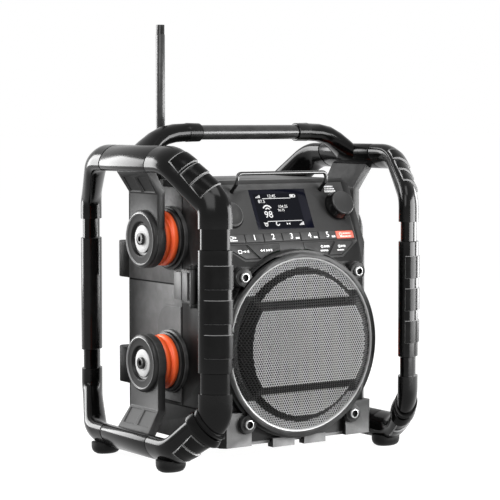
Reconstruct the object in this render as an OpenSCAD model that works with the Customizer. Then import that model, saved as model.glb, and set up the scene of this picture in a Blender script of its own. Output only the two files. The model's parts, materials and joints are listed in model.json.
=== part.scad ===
// Jobsite radio in a roll cage. Millimetres, +Z up, front towards -Y.
// Origin: on the floor, midway between the left and right frames and midway
// between the front and rear posts.

/* [Roll cage] */
// Spacing of the upright posts from left to right, centre to centre
post_span_x = 239.4; // [234:0.2:244]
// Spacing of the upright posts from front to back, centre to centre
post_span_y = 240.4; // [236:0.2:246]
// Spacing of the top and bottom rails from left to right, centre to centre
rail_span_x = 279; // [276:0.5:282]
// Height of the bottom rails' centre line above the floor
rail_low_z = 21; // [20:0.1:22]
// Height of the top rails' centre line above the floor
rail_high_z = 309; // [307:0.2:311]
// Length of each top rail between its corner knees
top_straight = 144; // [138:1:150]
// Length of each bottom rail between its corner knees
bottom_straight = 154; // [148:1:160]
// Height of the upper knees on the posts
upper_knee_z = 266; // [264:0.5:268]
// Height of the lower knees on the posts
lower_knee_z = 59; // [57:0.5:61]
// Broad half-width of the cage tube's oval section
tube_broad = 16.9; // [16:0.1:17.6]
// Thin half-width of the cage tube's oval section
tube_thin = 10.1; // [9.4:0.1:10.6]
// Angle between the tube's broad face and the plane of the frame
tube_turn = 40; // [30:1:50]
// How far the necks beside each sleeve are set in
neck_inset = 1.6; // [0.8:0.1:2.4]

/* [Handle] */
// Height of the carrying bar's centre line
handle_z = 334.8; // [333:0.1:336]
// Length of bare bar between the two end brackets
handle_bare = 122; // [110:1:130]
// Height of the bar's oval section
handle_h = 15.1; // [14:0.1:16]
// Depth of the bar's oval section
handle_d = 18; // [16:0.5:19]

/* [Cabinet] */
// Width of the cabinet
body_w = 188; // [186:0.5:189]
// Front face, measured back from the origin plane
body_front = 88; // [86:0.5:89]
// Rear face, measured back from the origin plane
body_rear = 85; // [83:0.5:88]
// Underside of the cabinet above the floor
body_low_z = 22.4; // [22:0.1:24]
// Top of the cabinet above the floor
body_high_z = 286.4; // [285.4:0.1:287.4]
// Wall thickness of the cabinet shells
wall = 3; // [2.6:0.1:3.4]
// Lean of the control panel back from the vertical
panel_lean = 25.6; // [25:0.1:26.4]

/* [Speaker] */
// Height of the speaker's centre
speaker_z = 121; // [120:0.1:122]
// Radius of the perforated grille
grille_r = 88; // [87:0.1:88.4]
// Radius of the driver's mounting flange
driver_r = 80; // [78:0.5:80.5]

/* [Shock mounts] */
// Height midway between the upper and lower mounts
mount_mid_z = 164.2; // [163:0.1:165]
// Half the spacing of the upper and lower mounts
mount_half = 63.2; // [61:0.1:65]
// Outer radius of the black end discs
disc_r = 29.5; // [28:0.5:30]
// Outer radius of the orange rubber isolators
isolator_r = 28; // [26:0.5:29]
// Thickness of the carrier arms
arm_t = 8.8; // [8:0.1:9]

/* [Controls] */
// Spacing of the keys in the upper row
key_pitch = 22.85; // [22.7:0.05:22.9]
// Gap round each key
key_gap = 0.35; // [0.3:0.05:0.4]
// Radius of the tuning knob
knob_r = 15.6; // [14:0.1:15.8]
// Height of the tuning knob
knob_h = 13; // [11:0.5:14]

/* [Antenna] */
// Length of the whip above its hinge
whip_len = 146; // [120:1:160]
// Diameter of the whip
whip_d = 9.4; // [8:0.1:9.6]

/* [Hidden] */

$fn = 72;
tube_sides = 28;
bend_steps = 6;
slack = 0.2;
far = 400;

black = "#1b1b1d";
charcoal = "#3a3b3d";
orange = "#f2602b";
steel = "#b9bcc0";

// --- Vectors, curves and skins ------------------------------------------------

function unit(v) = v / norm(v);
function mix(a, b, t) = a + (b - a) * t;
function ease(t) = let (s = min(1, max(0, t))) s * s * (3 - 2 * s);
function bend_point(a, b, c, t) = (1 - t) * (1 - t) * a + 2 * t * (1 - t) * b + t * t * c;

// A rounded corner at b on the way from a to c, starting and ending s from b
function bend(a, b, c, s) =
    [for (i = [0:bend_steps])
        bend_point(b - s * unit(b - a), b, b + s * unit(c - b), i / bend_steps)];

// An oval ring at p, square to the direction t, with its broad face towards n
function oval_ring(p, t, n, broad, thin, sides = tube_sides) =
    let (along = unit(t),
         face = unit(n - (n * along) * along),
         across = cross(along, face))
    [for (i = [0:sides - 1])
        p + broad * cos(360 * i / sides) * across + thin * sin(360 * i / sides) * face];

// The direction of a path of points at point i
function heading(path, i) =
    unit(path[min(i + 1, len(path) - 1)] - path[max(i - 1, 0)]);

// A closed skin over rings that all have the same number of points
module skin(rings) {
    n = len(rings[0]);
    last = len(rings) - 1;
    sides = [for (i = [0:last - 1], j = [0:n - 1])
        [i * n + (j + 1) % n, (i + 1) * n + (j + 1) % n, (i + 1) * n + j, i * n + j]];
    first_cap = [for (j = [n - 1:-1:0]) j];
    last_cap = [for (j = [0:n - 1]) last * n + j];
    polyhedron([for (r = rings, p = r) p], concat(sides, [first_cap, last_cap]), convexity = 8);
}

// A round rod along a path of points
module rod(path, r, sides = 16) {
    skin([for (i = [0:len(path) - 1])
        oval_ring(path[i], heading(path, i), [0.31, -0.23, 0.92], r, r, sides)]);
}

module mirrored_z(z) {
    translate([0, 0, 2 * z]) mirror([0, 0, 1]) children();
}

// Draws the children on the right, or mirrored on the left
module on_side(left) {
    if (left) mirror([1, 0, 0]) children();
    else children();
}

// A cylinder along X from x0 to x1
module x_cylinder(x0, x1, r) {
    translate([x0, 0, 0]) rotate([0, 90, 0]) cylinder(h = x1 - x0, r = r);
}

// A cylinder along Y from y0 to y1, on the speaker's axis
module y_cylinder(y0, y1, r, x = 0, z = speaker_z) {
    translate([x, y1, z]) rotate([90, 0, 0]) cylinder(h = y1 - y0, r = r);
}

// --- Cage: places --------------------------------------------------------------

cage_mid_z = (rail_low_z + rail_high_z) / 2;
post_x = post_span_x / 2;
post_y = post_span_y / 2;
rail_x = rail_span_x / 2;
sleeve_z = cage_mid_z - 2;
sleeve_half = 60;
neck_len = 20;
post_half = sleeve_half + neck_len;
joint_y = 45;
post_bend = 11;
rail_bend = 14;

post_face = [sin(tube_turn), -cos(tube_turn), 0];
rail_face = [sin(tube_turn), 0, cos(tube_turn)];

// Centre line of an upper front corner, from height z on the post to the rail, with
// its knees at height knee on the post and at run before the middle on the rail
function corner_path(z, knee, run) = let (
        foot = [post_x, -post_y, z],
        knee_low = [post_x, -post_y, knee],
        knee_high = [rail_x, -run, rail_high_z],
        tip = [rail_x, -joint_y, rail_high_z])
    concat([foot],
           bend(foot, knee_low, knee_high, post_bend),
           bend(knee_low, knee_high, tip, rail_bend),
           [tip]);

function corner_rings(z, knee, run, grow = 0) = let (path = corner_path(z, knee, run))
    [for (i = [0:len(path) - 1])
        let (rise = ease((path[i][2] - knee + post_bend) / (rail_high_z - knee + post_bend)),
             along = i == 0 ? [0, 0, 1] : i == len(path) - 1 ? [0, 1, 0] : heading(path, i))
        oval_ring(path[i], along, mix(post_face, rail_face, rise), tube_broad + grow,
                  tube_thin + grow)];

corner_high_z = sleeve_z + post_half;
corner_low_z = sleeve_z - post_half;

function upper_rings() = corner_rings(corner_high_z, upper_knee_z, top_straight / 2);

// Rings of a lower corner, mirrored up to the top of the cage
function lower_rings(grow = 0) = corner_rings(2 * cage_mid_z - corner_low_z,
    2 * cage_mid_z - lower_knee_z, bottom_straight / 2, grow);

// A length of the cage tube standing along Z, set in all round by inset
module oval_bar(length, inset = 0) {
    linear_extrude(height = length) scale([tube_broad - inset, tube_thin - inset])
        circle(r = 1);
}

// The same tube in a post's place, between two heights
module post_bar(z0, z1, inset = 0) {
    translate([post_x, -post_y, z0]) rotate([0, 0, tube_turn]) oval_bar(z1 - z0, inset);
}

// The same tube in the upper rail's place, between -half and +half
module rail_bar(half, z = rail_high_z, inset = 0) {
    translate([rail_x, -half, z]) rotate([-90, 0, 0]) rotate([0, 0, tube_turn])
        oval_bar(2 * half, inset);
}

// --- Cage: pieces ---------------------------------------------------------------

pad_len = 23.4;
pad_pitch = 33.4;
pad_proud = 1.3;
pad_reach = 0.55;

// A rubber pad on the outer face of the post, centred at height z
module post_pad(z) {
    intersection() {
        post_bar(z - pad_len / 2, z + pad_len / 2, -pad_proud);
        translate([post_x, -post_y, z]) rotate([0, 0, tube_turn])
            translate([-tube_broad * 1.2, -far / 8, -pad_len / 2 - 1])
                cube([tube_broad * (1.2 + pad_reach), far / 8 - tube_thin * 0.3, pad_len + 2]);
    }
}

module post_tube() {
    post_bar(corner_low_z, corner_high_z, neck_inset);
    post_bar(sleeve_z - sleeve_half, sleeve_z + sleeve_half);
}

module front_post(left) {
    color(black) on_side(left) {
        post_tube();
        for (i = [-1:1]) post_pad(sleeve_z + i * pad_pitch);
    }
}

module upper_front_corner(left) {
    color(black) on_side(left) skin(upper_rings());
}

module lower_front_corner(left) {
    color(black) on_side(left) mirrored_z(cage_mid_z) skin(lower_rings());
}

// The rear post with both of its corners, in one piece from rail to rail
module rear_post(left) {
    overlap = 4;
    color(black) on_side(left) mirror([0, 1, 0]) {
        post_tube();
        skin(upper_rings());
        mirrored_z(cage_mid_z) skin(lower_rings());
        post_bar(corner_low_z - overlap, corner_low_z + 0.5, neck_inset);
        post_bar(corner_high_z - 0.5, corner_high_z + overlap, neck_inset);
    }
}

// Stations along the handle bracket's neck: x, z, half depth and half thickness
bracket_stations = [
    [handle_bare / 2, handle_z, handle_d / 2 + 1.4, 9.6],
    [handle_bare / 2 + 15, handle_z, handle_d / 2 + 1.2, 9.8],
    [handle_bare / 2 + 38, handle_z - 1.6, handle_d / 2 + 2, 10.2],
    [handle_bare / 2 + 52, handle_z - 6.5, handle_d / 2 + 5, 10.4],
    [handle_bare / 2 + 63, handle_z - 15, handle_d / 2 + 10, 10.2],
    [rail_x - 6, rail_high_z + 3, 23.5, 9.6]
];

function bracket_heading(i) =
    let (a = bracket_stations[max(i - 1, 0)], b = bracket_stations[min(i + 1, 5)])
    i == 0 ? [1, 0, 0] : unit([b[0] - a[0], 0, b[1] - a[1]]);

// The bracket: a length of top rail, and the neck that rises to the carrying bar
module handle_bracket(left) {
    color(black) on_side(left) difference() {
        union() {
            rail_bar(joint_y - slack);
            skin([for (i = [0:len(bracket_stations) - 1])
                let (s = bracket_stations[i])
                oval_ring([s[0], 0, s[1]], bracket_heading(i), [0, 0, 1], s[2], s[3])]);
        }
        translate([handle_bare / 2 - 1, 0, handle_z]) rotate([0, 90, 0])
            cylinder(h = bar_spigot + 1.3, r = spigot_r + slack);
    }
}

bar_spigot = 14;
spigot_r = 6;

module handle_bar() {
    half = handle_bare / 2 - slack;
    color(black) {
        translate([-half, 0, handle_z]) rotate([0, 90, 0])
            linear_extrude(height = 2 * half) scale([handle_h / 2, handle_d / 2]) circle(r = 1);
        for (s = [0, 1]) mirror([s, 0, 0]) translate([half, 0, handle_z])
            rotate([0, 90, 0]) cylinder(h = bar_spigot, r = spigot_r);
    }
}

module bottom_rail(left) {
    color(black) on_side(left) mirrored_z(cage_mid_z) rail_bar(joint_y - slack);
}

foot_h = 12;
foot_run = 2.5;
foot_y = 64;

// A pad with two round ends
module foot_pad(height, r) {
    linear_extrude(height = height) union() {
        square([2 * foot_run, 2 * r], center = true);
        for (x = [-foot_run, foot_run]) translate([x, 0]) circle(r = r);
    }
}

// A crescent rubber foot under one lower corner, hollowed to fit the tube above it
module cage_foot() {
    at = [rail_x - 4, -foot_y, 0];
    saddle = lower_rings(0.05);
    difference() {
        union() {
            translate(at) foot_pad(foot_h, 12);
            translate(at + [0, 0, 1.5]) foot_pad(foot_h - 1.5, 13);
        }
        mirrored_z(cage_mid_z) skin([for (i = [bend_steps:len(saddle) - 1]) saddle[i]]);
        mirrored_z(cage_mid_z) rail_bar(joint_y + 1, rail_high_z, -0.05);
    }
}

module cage_feet() {
    color(black) for (sx = [0, 1], sy = [0, 1])
        mirror([sx, 0, 0]) mirror([0, sy, 0]) cage_foot();
}

// --- Shock mounts ----------------------------------------------------------------

body_x = body_w / 2;
flange_t = 8;
isolator_x = body_x + flange_t;
arm_in_x = 118.5;
arm_out_x = arm_in_x + arm_t;
disc_t = 5.2;
bolt_r = 4;
arm_lean = 32;
arm_knee_z = mount_mid_z + 108.8;
arm_half = 27;

upper_mount_z = mount_mid_z + mount_half;

module at_mounts() {
    for (sx = [0, 1], sz = [-1, 1])
        mirror([sx, 0, 0]) translate([0, 0, mount_mid_z + sz * mount_half]) children();
}

// The upper right carrier arm for a rail at height rail_z: a plate with a round
// end, bent out under the rail
module arm_solid(rail_z) {
    run = (rail_z - arm_knee_z) * tan(arm_lean);
    difference() {
        intersection() {
            rotate([90, 0, 0]) linear_extrude(height = 90, center = true) polygon([
                [arm_in_x, upper_mount_z - disc_r - 1], [arm_out_x, upper_mount_z - disc_r - 1],
                [arm_out_x, arm_knee_z], [arm_out_x + run, rail_z],
                [arm_out_x + run - arm_t / cos(arm_lean), rail_z],
                [arm_in_x, arm_knee_z + arm_t * tan(arm_lean / 2)]
            ]);
            rotate([90, 0, 90]) linear_extrude(height = 170) union() {
                polygon([[-arm_half, upper_mount_z], [arm_half, upper_mount_z],
                         [arm_half, arm_knee_z], [arm_half + 4.5, rail_z],
                         [-arm_half - 4.5, rail_z], [-arm_half, arm_knee_z]]);
                translate([0, upper_mount_z]) circle(r = disc_r);
            }
        }
        rail_bar(joint_y, rail_z);
        translate([0, -joint_y, rail_z - 4]) cube([far, 2 * joint_y, far / 8]);
        translate([0, 0, upper_mount_z]) x_cylinder(arm_in_x - 1, arm_out_x + 1, bolt_r + slack);
        // Two shallow panels sunk in the leaning part's outer face
        for (y = [-24, 3]) translate([arm_out_x, y, arm_knee_z]) rotate([0, arm_lean, 0])
            translate([-1.2, 0, 2.5]) cube([4, 21, 17]);
    }
}

module arm(left, lower) {
    color(charcoal) on_side(left) {
        if (lower) mirrored_z(mount_mid_z) arm_solid(2 * mount_mid_z - rail_low_z);
        else arm_solid(rail_high_z);
    }
}

// Black end disc: a thick rounded rim round a ring face and a deep bowl
module end_discs() {
    color(black) at_mounts() rotate([0, 90, 0]) translate([0, 0, arm_out_x])
        rotate_extrude() polygon([
            [bolt_r + slack, 0], [disc_r, 0], [disc_r, 2.6], [disc_r - 1.4, 4.4],
            [26, disc_t], [24.6, disc_t], [23.6, disc_t - 1], [18, disc_t - 1],
            [17, disc_t - 1.4], [15, 0.9], [bolt_r + slack, 0.9]
        ]);
}

// Orange rubber isolator with two ridges and a waist between them
module rubber_isolators() {
    len = arm_in_x - isolator_x;
    color(orange) at_mounts() rotate([0, 90, 0]) translate([0, 0, isolator_x])
        rotate_extrude() difference() {
            polygon([
                [bolt_r + slack, 0], [isolator_r - 1, 0], [isolator_r, len * 0.12],
                [isolator_r, len * 0.3], [isolator_r - 3.2, len * 0.42],
                [isolator_r - 3.2, len * 0.5], [isolator_r - 0.4, len * 0.62],
                [isolator_r - 0.4, len * 0.86], [isolator_r - 2, len], [bolt_r + slack, len]
            ]);
            translate([0, -1]) square([bolt_r + slack, len + 2]);
        }
}

module disc_washers() {
    color(steel) at_mounts() difference() {
        x_cylinder(arm_out_x + 0.9, arm_out_x + 2.1, 14);
        x_cylinder(arm_out_x, arm_out_x + 3, bolt_r + slack);
    }
}

module disc_bolts() {
    tip = body_x + 1;
    head_x = arm_out_x + 2.1;
    color(steel) at_mounts() difference() {
        union() {
            x_cylinder(tip, head_x, bolt_r);
            x_cylinder(head_x, head_x + 3, 6);
        }
        translate([head_x + 0.8, 0, 0]) rotate([0, 90, 0]) cylinder(h = 5, r = 2.9, $fn = 6);
    }
}

// Stepped black flange that ties each isolator to the cabinet's side
module isolator_flanges() {
    color(black) at_mounts() difference() {
        union() {
            x_cylinder(body_x, body_x + 4.5, 32.5);
            x_cylinder(body_x + 4.5, isolator_x, 30);
        }
        x_cylinder(body_x + 0.6, isolator_x + 1, bolt_r + slack);
    }
}

// --- Cabinet ----------------------------------------------------------------------

// The control panel's plane passes through this point
panel_y = -71.1;
panel_z = 237.3;
seam_y = -20.5;
seam_z = 180;
skirt_z = 56.6;
corner_cut = 9;
top_cut_x = 7;
top_cut_z = 7.5;
chin_x = 61;
drum_r = 95.5;
drum_front = 95;
ear_r = 9;
upper_ear = [70.8, 192.2];
lower_ear = [65.7, 45];
boss_back = 78;

// Places the children in the panel's frame: X across, Y up the panel, Z out of it
module on_panel() {
    translate([0, panel_y, panel_z]) rotate([90 - panel_lean, 0, 0]) children();
}

// The cabinet's outer form, shrunk on all sides by w
module cabinet_form(w) {
    lean_at_front = panel_z + (-w + (-body_front + w - panel_y) * cos(panel_lean))
        / sin(panel_lean);
    lean_at_top = panel_y + ((body_high_z - w - panel_z) * sin(panel_lean) + w)
        / cos(panel_lean);
    x = body_x - w;
    y0 = -body_front + w;
    y1 = body_rear - w;
    z0 = body_low_z + w;
    z1 = body_high_z - w;
    bevel = w * tan(22.5);
    intersection() {
        rotate([90, 0, 90]) linear_extrude(height = far, center = true) polygon([
            [y0, z0], [y0, lean_at_front], [lean_at_top, z1], [y1, z1], [y1, z0]]);
        linear_extrude(height = far) polygon([
            [-x, y1], [-x, y0 + corner_cut - bevel], [-x + corner_cut - bevel, y0],
            [x - corner_cut + bevel, y0], [x, y0 + corner_cut - bevel], [x, y1]]);
        rotate([90, 0, 0]) linear_extrude(height = far, center = true) polygon([
            [-x, z0], [x, z0], [x, z1 - top_cut_z + bevel], [x - top_cut_x + bevel, z1],
            [-x + top_cut_x - bevel, z1], [-x, z1 - top_cut_z + bevel]]);
    }
}

module cabinet_shell() {
    difference() {
        cabinet_form(0);
        cabinet_form(wall);
    }
}

// A slab of space between two heights and two depths
module zone(y0, y1, z0, z1) {
    translate([-far / 2, y0, z0]) cube([far, y1 - y0, z1 - z0]);
}

module ear_posts(extra) {
    for (s = [-1, 1], e = [upper_ear, lower_ear])
        y_cylinder(-drum_front, -boss_back, ear_r + 1 + extra, s * e[0], e[1]);
}

// The outline of the control panel in its own frame, in by g on every side
module panel_outline(g) {
    polygon([
        [-85 + g, 50 - g], [85 - g, 50 - g], [85 - g, -17 + g], [76 - g, -23 + g],
        [61 - g, -34 + g], [-61 + g, -34 + g], [-76 + g, -23 + g], [-85 + g, -17 + g]]);
}

module front_housing() {
    color(charcoal) difference() {
        union() {
            intersection() {
                cabinet_shell();
                union() {
                    zone(-far / 2, seam_y - slack / 2, skirt_z, far);
                    translate([-chin_x, -body_front - 1, body_low_z + wall + slack])
                        cube([2 * chin_x, wall + 2, skirt_z - body_low_z - wall]);
                }
            }
            // Drum and ear posts that carry the grille ring
            y_cylinder(-drum_front, -boss_back, drum_r);
            ear_posts(0);
            for (s = [0, 1], z = [latch_z - latch_lug - 0.4, latch_z + latch_h + 0.4])
                mirror([s, 0, 0]) translate([0, 0, z]) latch_lug();
        }
        y_cylinder(-far / 2, -50, driver_r - 3);
        y_cylinder(-body_front + wall, -50, driver_r + slack);
        on_panel() {
            translate([0, 0, -2.5]) linear_extrude(height = 40) panel_outline(-slack);
            translate([0, 0, -30]) linear_extrude(height = 40) panel_outline(4);
            // Room for the keys
            translate([row_left, key_low - 1.6, -9])
                cube([keys * key_pitch, key_high - key_low + 3.2, 20]);
            for (s = [0, 1]) mirror([s, 0, 0]) translate([0, 0, -9]) linear_extrude(height = 20) {
                outer_key_shape(0);
                inner_key_shape(0);
            }
        }
        // Blind holes for the grille screws
        for (s = [-1, 1], e = [upper_ear, lower_ear])
            y_cylinder(-drum_front - 1, -boss_back - 5, 2.2, s * e[0], e[1]);
        // The cabinet's inside, behind the drum and the ear posts
        intersection() {
            cabinet_form(wall);
            zone(-body_front + wall + 4, far, 0, far);
        }
        // Room for the latches' hinge pins
        for (s = [-1, 1]) translate([s * (body_x + latch_pin_out), latch_pin_y, latch_z - 10])
            cylinder(h = latch_h + 20, r = latch_pin_r + 0.05);
    }
}

module rear_housing() {
    color(charcoal) difference() {
        union() {
            intersection() {
                cabinet_shell();
                zone(seam_y + slack / 2, far, seam_z + slack / 2, far);
            }
            // Pocket behind the jack cover
            translate([jack_x - jack_w / 2 - 2, body_rear - 14, jack_z - jack_h / 2 - 2])
                cube([jack_w + 4, 13, jack_h + 4]);
        }
        translate([jack_x - jack_w / 2, body_rear - 12, jack_z - jack_h / 2])
            cube([jack_w, 20, jack_h]);
        translate([jack_x, body_rear - 15, jack_z]) for (i = [-1:1])
            translate([i * 14, 0, 0]) rotate([-90, 0, 0]) cylinder(h = 10, r = 3.2);
        // Seat of the antenna's turret
        translate([antenna_x, antenna_y, body_high_z - wall - 1]) cylinder(h = far, r = stem_r + 0.05);
    }
}

bay_w = 132;
bay_low = 84;
bay_high = 158;
bay_depth = 42;
hinge_y = body_rear + 3.4;
hinge_z = bay_low - 5;
pin_r = 2;

module battery_housing() {
    color(charcoal) difference() {
        union() {
            intersection() {
                cabinet_shell();
                zone(seam_y + slack / 2, far, skirt_z, seam_z - slack / 2);
            }
            // Walls of the battery bay
            translate([-bay_w / 2 - 2.4, body_rear - bay_depth - 2.4, bay_low - 2.4])
                cube([bay_w + 4.8, bay_depth, bay_high - bay_low + 4.8]);
            // Hinge lugs under the door
            for (s = [-1, 1]) door_lug(s);
            // Ledge the bay hangs from, round the door's seat
            translate([-bay_w / 2 - 8, body_rear - wall - 3, bay_low - 7])
                cube([bay_w + 16, 3.3, bay_high - bay_low + 15]);
            // Latch keepers on both sides
            for (s = [-1, 1]) translate([s > 0 ? body_x - 1 : -body_x - 4, -19.8, 166])
                cube([5, 4, 12]);
        }
        translate([-bay_w / 2, body_rear - bay_depth, bay_low])
            cube([bay_w, far, bay_high - bay_low]);
        // The door's seat in the rear face
        translate([-bay_w / 2 - 4 - slack, body_rear - 3.2, bay_low - 3 - slack])
            cube([bay_w + 8 + 2 * slack, 10, bay_high - bay_low + 7.4 + 2 * slack]);
        // Bores of the hinge lugs
        translate([-far / 2, hinge_y, hinge_z]) rotate([0, 90, 0])
            cylinder(h = far, r = pin_r + 0.06);
    }
}

lug_x = 50;
lug_w = 8;
catch_w = 20;
catch_h = 17.4;
catch_low = bay_high - 9.4;
catch_travel = 4.5;
guide_low = catch_low - catch_travel - 2.4;
guide_h = 19.8;

// A hinge lug that stands off the rear face, with the pin's bore near its end
module door_lug(s) {
    translate([s * lug_x - lug_w / 2, 0, 0]) union() {
        translate([0, hinge_y, hinge_z]) rotate([0, 90, 0]) cylinder(h = lug_w, r = 3.5);
        translate([0, body_rear - 1, hinge_z - 3.5]) cube([lug_w, hinge_y - body_rear + 1, 5]);
    }
}

module battery_door() {
    h = bay_high - bay_low + 7;
    knuckle_x = -lug_x + lug_w / 2 + 0.4;
    knuckle_len = -2 * knuckle_x;
    color(charcoal) union() {
        translate([-bay_w / 2 - 4 + slack, body_rear - 3, bay_low - 3 + slack])
            cube([bay_w + 8 - 2 * slack, 3, h - 2 * slack]);
        // Grip ribs
        for (i = [0:4]) translate([-26, body_rear - 0.5, bay_low + 36 + i * 4])
            cube([52, 1.6, 1.8]);
        // Knuckle between the lugs, with the pin through it
        translate([knuckle_x, hinge_y, hinge_z]) rotate([0, 90, 0])
            cylinder(h = knuckle_len, r = 3.1);
        translate([knuckle_x, body_rear + 0.3, hinge_z]) cube([knuckle_len, 2.9, 8]);
        translate([knuckle_x, body_rear - 1, bay_low - 2]) cube([knuckle_len, 2, 5]);
        translate([-lug_x - lug_w / 2 - 1, hinge_y, hinge_z]) rotate([0, 90, 0])
            cylinder(h = 2 * lug_x + lug_w + 2, r = pin_r);
        // Guide rails of the catch, with lips over its edges and a stop below it
        for (s = [0, 1]) mirror([s, 0, 0]) {
            translate([catch_w / 2 + 0.4, body_rear - 0.5, guide_low])
                cube([2.6, 4, guide_h]);
            translate([catch_w / 2 - 0.8, body_rear + 2.5, guide_low])
                cube([3.8, 1, guide_h]);
        }
        translate([-catch_w / 2 - 1, body_rear - 0.5, guide_low])
            cube([catch_w + 2, 3.5, 2]);
    }
}

// Slides on the door's outer face and laps over the housing above it
module door_catch() {
    color(black) union() {
        translate([-catch_w / 2, body_rear + 0.3, catch_low]) cube([catch_w, 1.9, catch_h]);
        for (i = [0:2]) translate([-catch_w / 2 + 2, body_rear + 2, catch_low + 4 + i * 3.6])
            cube([catch_w - 4, 1.6, 1.6]);
    }
}

// A single D cell, lying along X
cell_r = 16.6;
cell_len = 61.5;

module battery_cells() {
    color("#c9b458") for (s = [-1, 1], row = [0, 1])
        translate([s * (cell_len / 2 + 1.6) - cell_len / 2,
                   body_rear - bay_depth + 1 + cell_r, bay_low + 2 + cell_r + row * 35])
            rotate([0, 90, 0]) union() {
                cylinder(h = cell_len - 2, r = cell_r);
                cylinder(h = cell_len, r = 5);
            }
}

jack_x = 34;
jack_z = 232;
jack_w = 50;
jack_h = 17;

// Soft cover over the sockets, hinged along its lower edge
module jack_cover() {
    color(black) difference() {
        union() {
            translate([jack_x - jack_w / 2 - 4, body_rear + 0.3, jack_z - jack_h / 2 - 4])
                cube([jack_w + 8, 2.6, jack_h + 8]);
            translate([jack_x - jack_w / 2 + slack + 0.3, body_rear - 3,
                       jack_z - jack_h / 2 + 2.5])
                cube([jack_w - 2 * slack - 0.6, 4, jack_h - 3.2]);
            translate([jack_x - 9, body_rear + 2.5, jack_z + jack_h / 2 - 1])
                cube([18, 2, 4]);
            // Rolled edge on the hinge's line
            translate([jack_x - jack_w / 2 - 4, body_rear + 1.6, jack_z - jack_h / 2 - 4])
                rotate([0, 90, 0]) cylinder(h = jack_w + 8, r = 1.3);
        }
        translate([jack_x - jack_w / 2 + 3, body_rear - 4, jack_z - jack_h / 2 + 5])
            cube([jack_w - 6, 4.6, jack_h - 8]);
    }
}

bumper_w = 22;
bumper_h = 39;
bumper_deep = 19;
bumper_edge = 6;

module rear_bumpers() {
    color(black) for (s = [-1, 1], z = [87, 200])
        translate([s * (body_x - bumper_w / 2) - bumper_w / 2, body_rear, z - bumper_h / 2])
            bumper_block();
}

// A block with rounded rear edges
module bumper_block() {
    linear_extrude(height = bumper_h) union() {
        square([bumper_w, bumper_deep]);
        translate([bumper_edge, 0])
            square([bumper_w - 2 * bumper_edge, bumper_deep + bumper_edge]);
        for (x = [bumper_edge, bumper_w - bumper_edge]) translate([x, bumper_deep])
            circle(r = bumper_edge, $fn = 32);
    }
}

// The skirt round the cabinet's foot: a tray with a block at each front corner
module base_skirt() {
    block_front = 94;
    color("#55575a") difference() {
        union() {
            intersection() {
                cabinet_shell();
                zone(-far / 2, far, body_low_z, skirt_z - slack / 2);
            }
            for (s = [0, 1]) mirror([s, 0, 0]) translate([59, -block_front, body_low_z])
                linear_extrude(height = skirt_z - body_low_z) polygon([
                    [0, 0], [30, 0], [body_x - 59, 5], [body_x - 59, 22], [32, 22],
                    [32, 12], [0, 12]]);
            // Two lips below the grille
            for (x = [-33, 6]) translate([x, -block_front, body_low_z - 4])
                cube([27, 9, 9]);
        }
        translate([-chin_x - slack, -body_front - 1, body_low_z + 3])
            cube([2 * (chin_x + slack), wall + 1 + slack, far]);
        y_cylinder(-far / 2, -boss_back + slack, drum_r + slack);
        ear_posts(slack);
    }
}

latch_pin_y = -45.6;
latch_pin_out = 3.6;
latch_pin_r = 1.5;
latch_z = 163.3;
latch_h = 34.2;
latch_lug = 4;

// A lug on the front housing that holds one end of a latch's pin, from z = 0 up
module latch_lug() {
    translate([body_x + latch_pin_out, latch_pin_y, 0]) cylinder(h = latch_lug, r = 3.1);
    translate([body_x - 1, latch_pin_y - 3.1, 0]) cube([latch_pin_out + 1, 6.2, latch_lug]);
}

// Side latch: a lever on a vertical pin, with a hook that closes over the keeper
module latch(left) {
    color(black) on_side(left) translate([body_x, 0, latch_z]) union() {
        translate([latch_pin_out, latch_pin_y, 0]) cylinder(h = latch_h, r = 3.1);
        translate([latch_pin_out, latch_pin_y, -latch_lug - 0.4])
            cylinder(h = latch_h + 2 * latch_lug + 0.8, r = latch_pin_r);
        translate([1.2, latch_pin_y, 0]) cube([5, -28.6 - latch_pin_y, latch_h]);
        translate([4.6, latch_pin_y + 4, 3]) cube([3, 10, latch_h - 6]);
        translate([4.6, -30, 3]) cube([3, 13.5, latch_h - 6]);
    }
}

// --- Speaker -----------------------------------------------------------------------

ring_front = 99.7;
web_half = ear_r - 1.5;

// The ring's outline with its ears, seen from the front, up from the radio's floor
module eared_outline() {
    translate([0, speaker_z]) circle(r = 92);
    for (s = [-1, 1], e = [upper_ear, lower_ear]) {
        angle = atan2(e[1] - speaker_z, s * e[0]);
        translate([s * e[0], e[1]]) circle(r = ear_r);
        translate([0, speaker_z]) rotate(angle) translate([86, -web_half])
            square([14, 2 * web_half]);
    }
}

module grille_ring() {
    color(black) difference() {
        union() {
            y_cylinder(-ring_front, -drum_front, 93);
            translate([0, -drum_front, 0]) rotate([90, 0, 0])
                linear_extrude(height = ring_front - drum_front - 1.4) eared_outline();
        }
        y_cylinder(-far / 2, 0, 82);
        y_cylinder(-ring_front - 1, -drum_front - 1.6, grille_r + 0.15);
        for (s = [-1, 1], e = [upper_ear, lower_ear])
            y_cylinder(-far / 2, 0, 2.3, s * e[0], e[1]);
    }
}

module grille_screws() {
    color(steel) for (s = [-1, 1], e = [upper_ear, lower_ear]) difference() {
        union() {
            y_cylinder(-ring_front + 1.4 - 3, -ring_front + 1.4, 4.9, s * e[0], e[1]);
            y_cylinder(-ring_front + 1.4, -boss_back - 6, 2, s * e[0], e[1]);
        }
        translate([s * e[0], -ring_front + 0.2, e[1]]) rotate([90, 0, 0])
            cylinder(h = 8, r = 2.6, $fn = 6);
    }
}

grille_t = 1.2;
lobe_r = 73;
lobe_up = 6;
band_up = 13;
band_half = 39.5;

// Plain openings that stand for the sheet's fine perforation
opening_pitch = 12.6;
opening_r = 5;
opening_reach = 64;

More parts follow.
